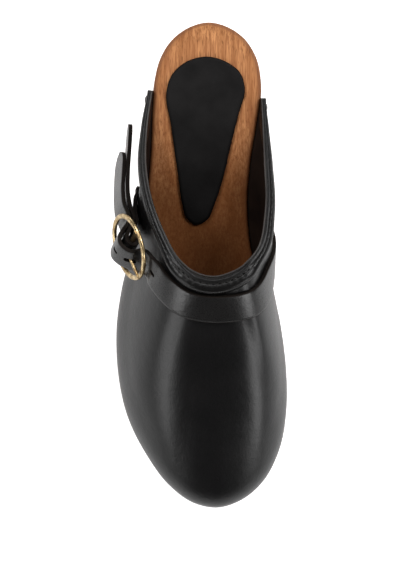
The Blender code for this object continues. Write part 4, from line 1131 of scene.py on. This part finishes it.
def strap(name, centres, across, sign):
    """A strap with raw brown edges, narrowing to a rounded tip; sign turns its crowned face outwards."""
    tangent = unit(np.gradient(centres, axis=0))
    across = unit(across - tangent * np.sum(across * tangent, axis=1, keepdims=True))
    normal = np.cross(tangent, across) * sign
    along = lengths(centres)
    left = (along[-1] - along) / TIP_LENGTH
    full = STRAP_WIDTH / 2
    half = np.where(left < 1, full * np.sqrt(np.clip(1 - (1 - left) ** 2, 0.015, 1)), full)
    sections = []
    for k in range(len(centres)):
        section = strap_section(half[k], STRAP_THICKNESS)
        wobble = 1 + 0.006 * np.sin(along[k] / MM * 0.31)
        sections.append(centres[k] + across[k] * section[:, :1] * wobble + normal[k] * section[:, 1:])
    sections = np.array(sections)
    faces = swept(sections)
    size = sections.shape[1]
    indices = []
    for k in range(len(faces) - 2):
        column = k % size % (SECTION_COLUMNS + SECTION_SIDE)
        indices.append(int(column >= SECTION_COLUMNS - 1))
    indices += [1, 1]
    return piece(name, sections.reshape(-1, 3), faces, [STRAP_LEATHER, RAW_EDGE], indices, sharp=50)


def slot_cutter(centre, along, out, length, width):
    """A round-ended slot's cutter."""
    matrix = facing(centre, out, along)
    side = []
    for k in range(24):
        angle = 2 * np.pi * (k + 0.5) / 24
        shift = (length - width) / 2 * (1 if np.cos(angle) > 0 else -1)
        side.append((width / 2 * np.cos(angle) + shift, width / 2 * np.sin(angle)))
    sections = np.array([[(x, y, z) for x, y in side] for z in (-3.5 * MM, 3.5 * MM)])
    return placed(matrix, sections.reshape(-1, 3)), swept(sections)


def cut_out(target, parts):
    """Cuts closed shapes out of a piece for good; the walls of the cuts are raw leather."""
    tool = merged("cutter", parts, [STRAP_LEATHER, RAW_EDGE])
    for face in tool.data.polygons:
        face.material_index = 1
    modifier = target.modifiers.new("slots", "BOOLEAN")
    modifier.operation = "DIFFERENCE"
    modifier.solver = "EXACT"
    modifier.object = tool
    bpy.context.view_layer.update()
    mesh = bpy.data.meshes.new_from_object(target.evaluated_get(bpy.context.evaluated_depsgraph_get()))
    target.modifiers.clear()
    target.data = mesh
    mesh.shade_smooth()
    mesh.set_sharp_from_angle(angle=np.radians(50))
    bpy.data.objects.remove(tool)


def eased(values, along, end):
    """Values along a strap with small unevenness smoothed out up to a distance along it."""
    smooth = values.copy()
    for _ in range(EASE_PASSES):
        smooth[1:-1] = (smooth[:-2] + 2 * smooth[1:-1] + smooth[2:]) / 4
    share = (1 - smoothstep(along, end - 14 * MM, end - 4 * MM))[:, None]
    return values * (1 - share) + smooth * share


def instep_strap():
    centres, across = keys_on_upper(INSTEP_SPOTS)
    on_upper = lengths(centres)[-1]
    buckle_centres, buckle_across = buckle_keys(INSTEP_BEND)
    centres, across = strap_line(
        np.concatenate([centres, buckle_centres]), np.concatenate([across, buckle_across]))
    along = lengths(centres)
    centres = eased(centres, along, on_upper)
    across = unit(eased(across, along, on_upper))
    along = lengths(centres)
    tangent = unit(np.gradient(centres, axis=0))
    normal = unit(np.cross(tangent, across))
    back = (centres - BUCKLE_CENTRE) @ BUCKLE_BACK
    over_bar = int(np.argmin(np.linalg.norm(centres - buckle_point(0, 0, STRAP_OVER_BAR), axis=1)))
    behind = along > along[over_bar] - 12 * MM

    def at(values, place):
        return np.array([np.interp(place, along, values[:, k]) for k in range(3)])

    made = strap("instep_strap_leather", centres, across, 1.0)
    used = np.interp(PRONG_HOLE_BACK, back[behind], along[behind])
    slots = []
    for k in range(-2, 3):
        place = used + k * HOLE_PITCH
        size = PRONG_HOLE if k == 0 else SPARE_HOLE
        slots.append(slot_cutter(at(centres, place), at(tangent, place), at(normal, place), *size))
    cut_out(made, slots)
    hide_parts("instep_strap", "instep_strap_tail")
    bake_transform(made)
    return made


def buckle_strap():
    fold = []
    for angle in np.radians([-90, -135, 180, 135, 90]):
        fold.append((STRAP_FOLD * np.cos(angle), 0, STRAP_FOLD * np.sin(angle), 0))
    centres, across = keys_on_upper(BUCKLE_SPOTS)
    buckle_centres, buckle_across = buckle_keys(BUCKLE_STRAP_RISE + fold + BUCKLE_STRAP_FREE)
    turned = buckle_across[-4:] * (1 - FREE_END_UPRIGHT) - np.array([0, 0, FREE_END_UPRIGHT])
    buckle_across[-4:] = unit(turned)
    centres, across = strap_line(
        np.concatenate([centres, buckle_centres]), np.concatenate([-across, buckle_across]), 0.7 * MM)
    made = strap("buckle_strap_leather", centres, across, 1.0)
    matrix = facing(buckle_point(-0.7, 0, 0), BUCKLE_OUT, BUCKLE_BACK)
    x, y = BAR_SLOT[0] / 2, BAR_SLOT[1] / 2
    corners = ((-x, -y), (x, -y), (x, y), (-x, y))
    sections = np.array([[(*corner, z) for corner in corners] for z in (-6.0 * MM, 6.0 * MM)])
    cut_out(made, [(placed(matrix, sections.reshape(-1, 3)), swept(sections))])
    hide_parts("buckle_strap")
    return made


def buckle_ring():
    """A flattish bevelled ring with a straight bar across it."""
    place = facing(BUCKLE_CENTRE, BUCKLE_OUT, BUCKLE_BACK)
    turns = np.linspace(0, 2 * np.pi, 144, endpoint=False)
    angles = np.linspace(0, 2 * np.pi, 24, endpoint=False)
    across = np.sign(np.cos(angles)) * np.abs(np.cos(angles)) ** RING_SQUARENESS * RING_WIRE * 0.98
    out = np.sign(np.sin(angles)) * np.abs(np.sin(angles)) ** RING_SQUARENESS * RING_WIRE * 0.80
    vertices = []
    for turn in turns:
        radius = RING_RADIUS + across
        vertices += list(np.stack([radius * np.cos(turn), radius * np.sin(turn), out], axis=1))
    faces = []
    n = len(angles)
    for i in range(len(turns)):
        for j in range(n):
            a = i * n
            b = (i + 1) % len(turns) * n
            k = (j + 1) % n
            faces.append((a + j, a + k, b + k, b + j))
    ring = (placed(place, vertices), faces)
    steps = np.linspace(-1, 1, 31)
    centres = BUCKLE_CENTRE + BUCKLE_DOWN * steps[:, None] * RING_RADIUS
    radius = BAR_RADIUS * (1 + 0.25 * smoothstep(np.abs(steps), 0.86, 1.0))
    bar = tube(centres, np.broadcast_to(BUCKLE_OUT, centres.shape), radius, 20)
    made = merged("buckle_ring", [ring, bar], [BRASS], sharp=70)
    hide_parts("buckle_frame")
    return made


def buckle_prong():
    points = []
    radii = []
    for angle in np.radians(np.linspace(-200, 90, 48)):
        points.append((-PRONG_LOOP * np.cos(angle), PRONG_LOOP * np.sin(angle)))
        radii.append(PRONG_WIRE)
    for share in np.linspace(0, 1, 24)[1:]:
        back = -PRONG_REACH * share
        dip = 0.35 * MM * np.sin(np.pi * share)
        points.append((back, PRONG_LOOP - dip))
        radii.append(PRONG_WIRE * (1 - 0.32 * smoothstep(share, 0.7, 1.0)))
    radii[-1] = 0.25 * PRONG_WIRE
    centres = np.array([BUCKLE_CENTRE + BUCKLE_BACK * b + BUCKLE_OUT * o for b, o in points])
    line = np.broadcast_to(BUCKLE_DOWN, centres.shape)
    made = merged("buckle_prong_wire", [tube(centres, line, np.array(radii), 18)], [BRASS], sharp=70)
    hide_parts("buckle_prong")
    return made


# ---- assembly

UPPER_NAIL_NODES = [name for name in frame["nodes"] if name.startswith("upper_nail_")]
SHOE = [
    (wooden_sole(), "wood"), (outsole(), "rubber"), (top_lift(), "rubber"), (heel_pad(), "pad_leather"),
    (vamp(), "upper_leather"), (lining(), "lining_leather"), (toe_puff(), "stiffener"),
    (collar_binding(), "upper_leather"), (collar_stitching(), "upper_leather"), (collar_foam(), "foam"),
    (nails("upper_nails", NAIL_PLACES, 0.0, UPPER_NAIL_NODES), "dark_steel"),
    (buckle_strap(), "strap_leather"),
]
strap_face = STRAP_LIFT + STRAP_THICKNESS / 2
for label, foot in (("instep", INSTEP_FOOT), ("buckle", BUCKLE_FOOT)):
    ends = [foot - FOOT_NAIL_SPREAD, foot + FOOT_NAIL_SPREAD]
    nodes = [f"{label}_strap_nail_{k:02d}" for k in (1, 2)]
    SHOE.append((nails(f"{label}_strap_nails", ends, strap_face, nodes), "dark_steel"))
for made, slot in SHOE:
    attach(made, "shoe")
for made, body in ((buckle_ring(), "buckle"), (buckle_prong(), "prong")):
    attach(made, body)
instep_strap()

for name, node in frame["nodes"].items():
    if name.startswith("heel_nail_"):
        node.data.materials.clear()
        node.data.materials.append(STEEL)


# ---- studio

CAMERA_PLACE = (-3.55 * MM, -104.4 * MM, 1500 * MM)
# Softboxes: place, size and power in watts
SOFTBOXES = {
    "left_softbox": ((-0.85, 0.45, 1.25), (0.8, 0.4), 11.0),
    "right_softbox": ((0.85, 0.45, 1.25), (0.8, 0.4), 13.0),
    "front_left_softbox": ((-1.50, -1.20, 0.92), (0.9, 1.0), 14.0),
    "front_right_softbox": ((1.42, -1.20, 0.90), (0.8, 1.0), 15.0),
    "key_softbox": ((0.15, 1.6, 1.25), (1.2, 0.5), 13.0),
}


def floor_look():
    look = Look("pale_floor")
    shade = look.noise(0.004, detail=2.0)
    rays = look.put("LightPath", {}).outputs
    seen = look.span(rays["Is Camera Ray"], 0.0, 1.0, 0.12, 0.75)
    mirrored = look.span(rays["Is Glossy Ray"], 0.0, 1.0, 0.12, 0.26)
    glow = look.put("Math", {0: seen, 1: mirrored}, operation="MAXIMUM").outputs[0]
    look.set(Base_Color=look.blend(shade, (0.86, 0.86, 0.86), (0.90, 0.90, 0.90)), Roughness=0.9,
             Emission_Color=(1.0, 1.0, 1.0, 1.0), Emission_Strength=glow)
    return look.material


def softbox(name, place, size, energy, aim=(0.0, -0.1, 0.04)):
    light = bpy.data.lights.new(name, "AREA")
    light.shape = "RECTANGLE"
    light.size, light.size_y = size
    light.energy = energy
    made = bpy.data.objects.new(name, light)
    made.location = place
    made.rotation_euler = (Vector(aim) - Vector(place)).to_track_quat("-Z", "Y").to_euler()
    bpy.context.scene.collection.objects.link(made)


bpy.ops.mesh.primitive_plane_add(size=6.0, location=(0, 0, 0))
floor = bpy.context.object
floor.name = "floor"
floor.data.materials.append(floor_look())

for name, (place, size, power) in SOFTBOXES.items():
    softbox(name, place, size, power)
world = bpy.data.worlds.new("studio")
world.use_nodes = True
world.node_tree.nodes["Background"].inputs["Color"].default_value = (1.0, 1.0, 1.0, 1.0)
world.node_tree.nodes["Background"].inputs["Strength"].default_value = 0.035
bpy.context.scene.world = world
bpy.context.scene.view_settings.view_transform = "Standard"

camera_data = bpy.data.cameras.new("camera")
camera_data.sensor_width = 36.0
camera_data.lens = 182.1
camera = bpy.data.objects.new("camera", camera_data)
camera.location = CAMERA_PLACE
bpy.context.scene.collection.objects.link(camera)
bpy.context.scene.camera = camera
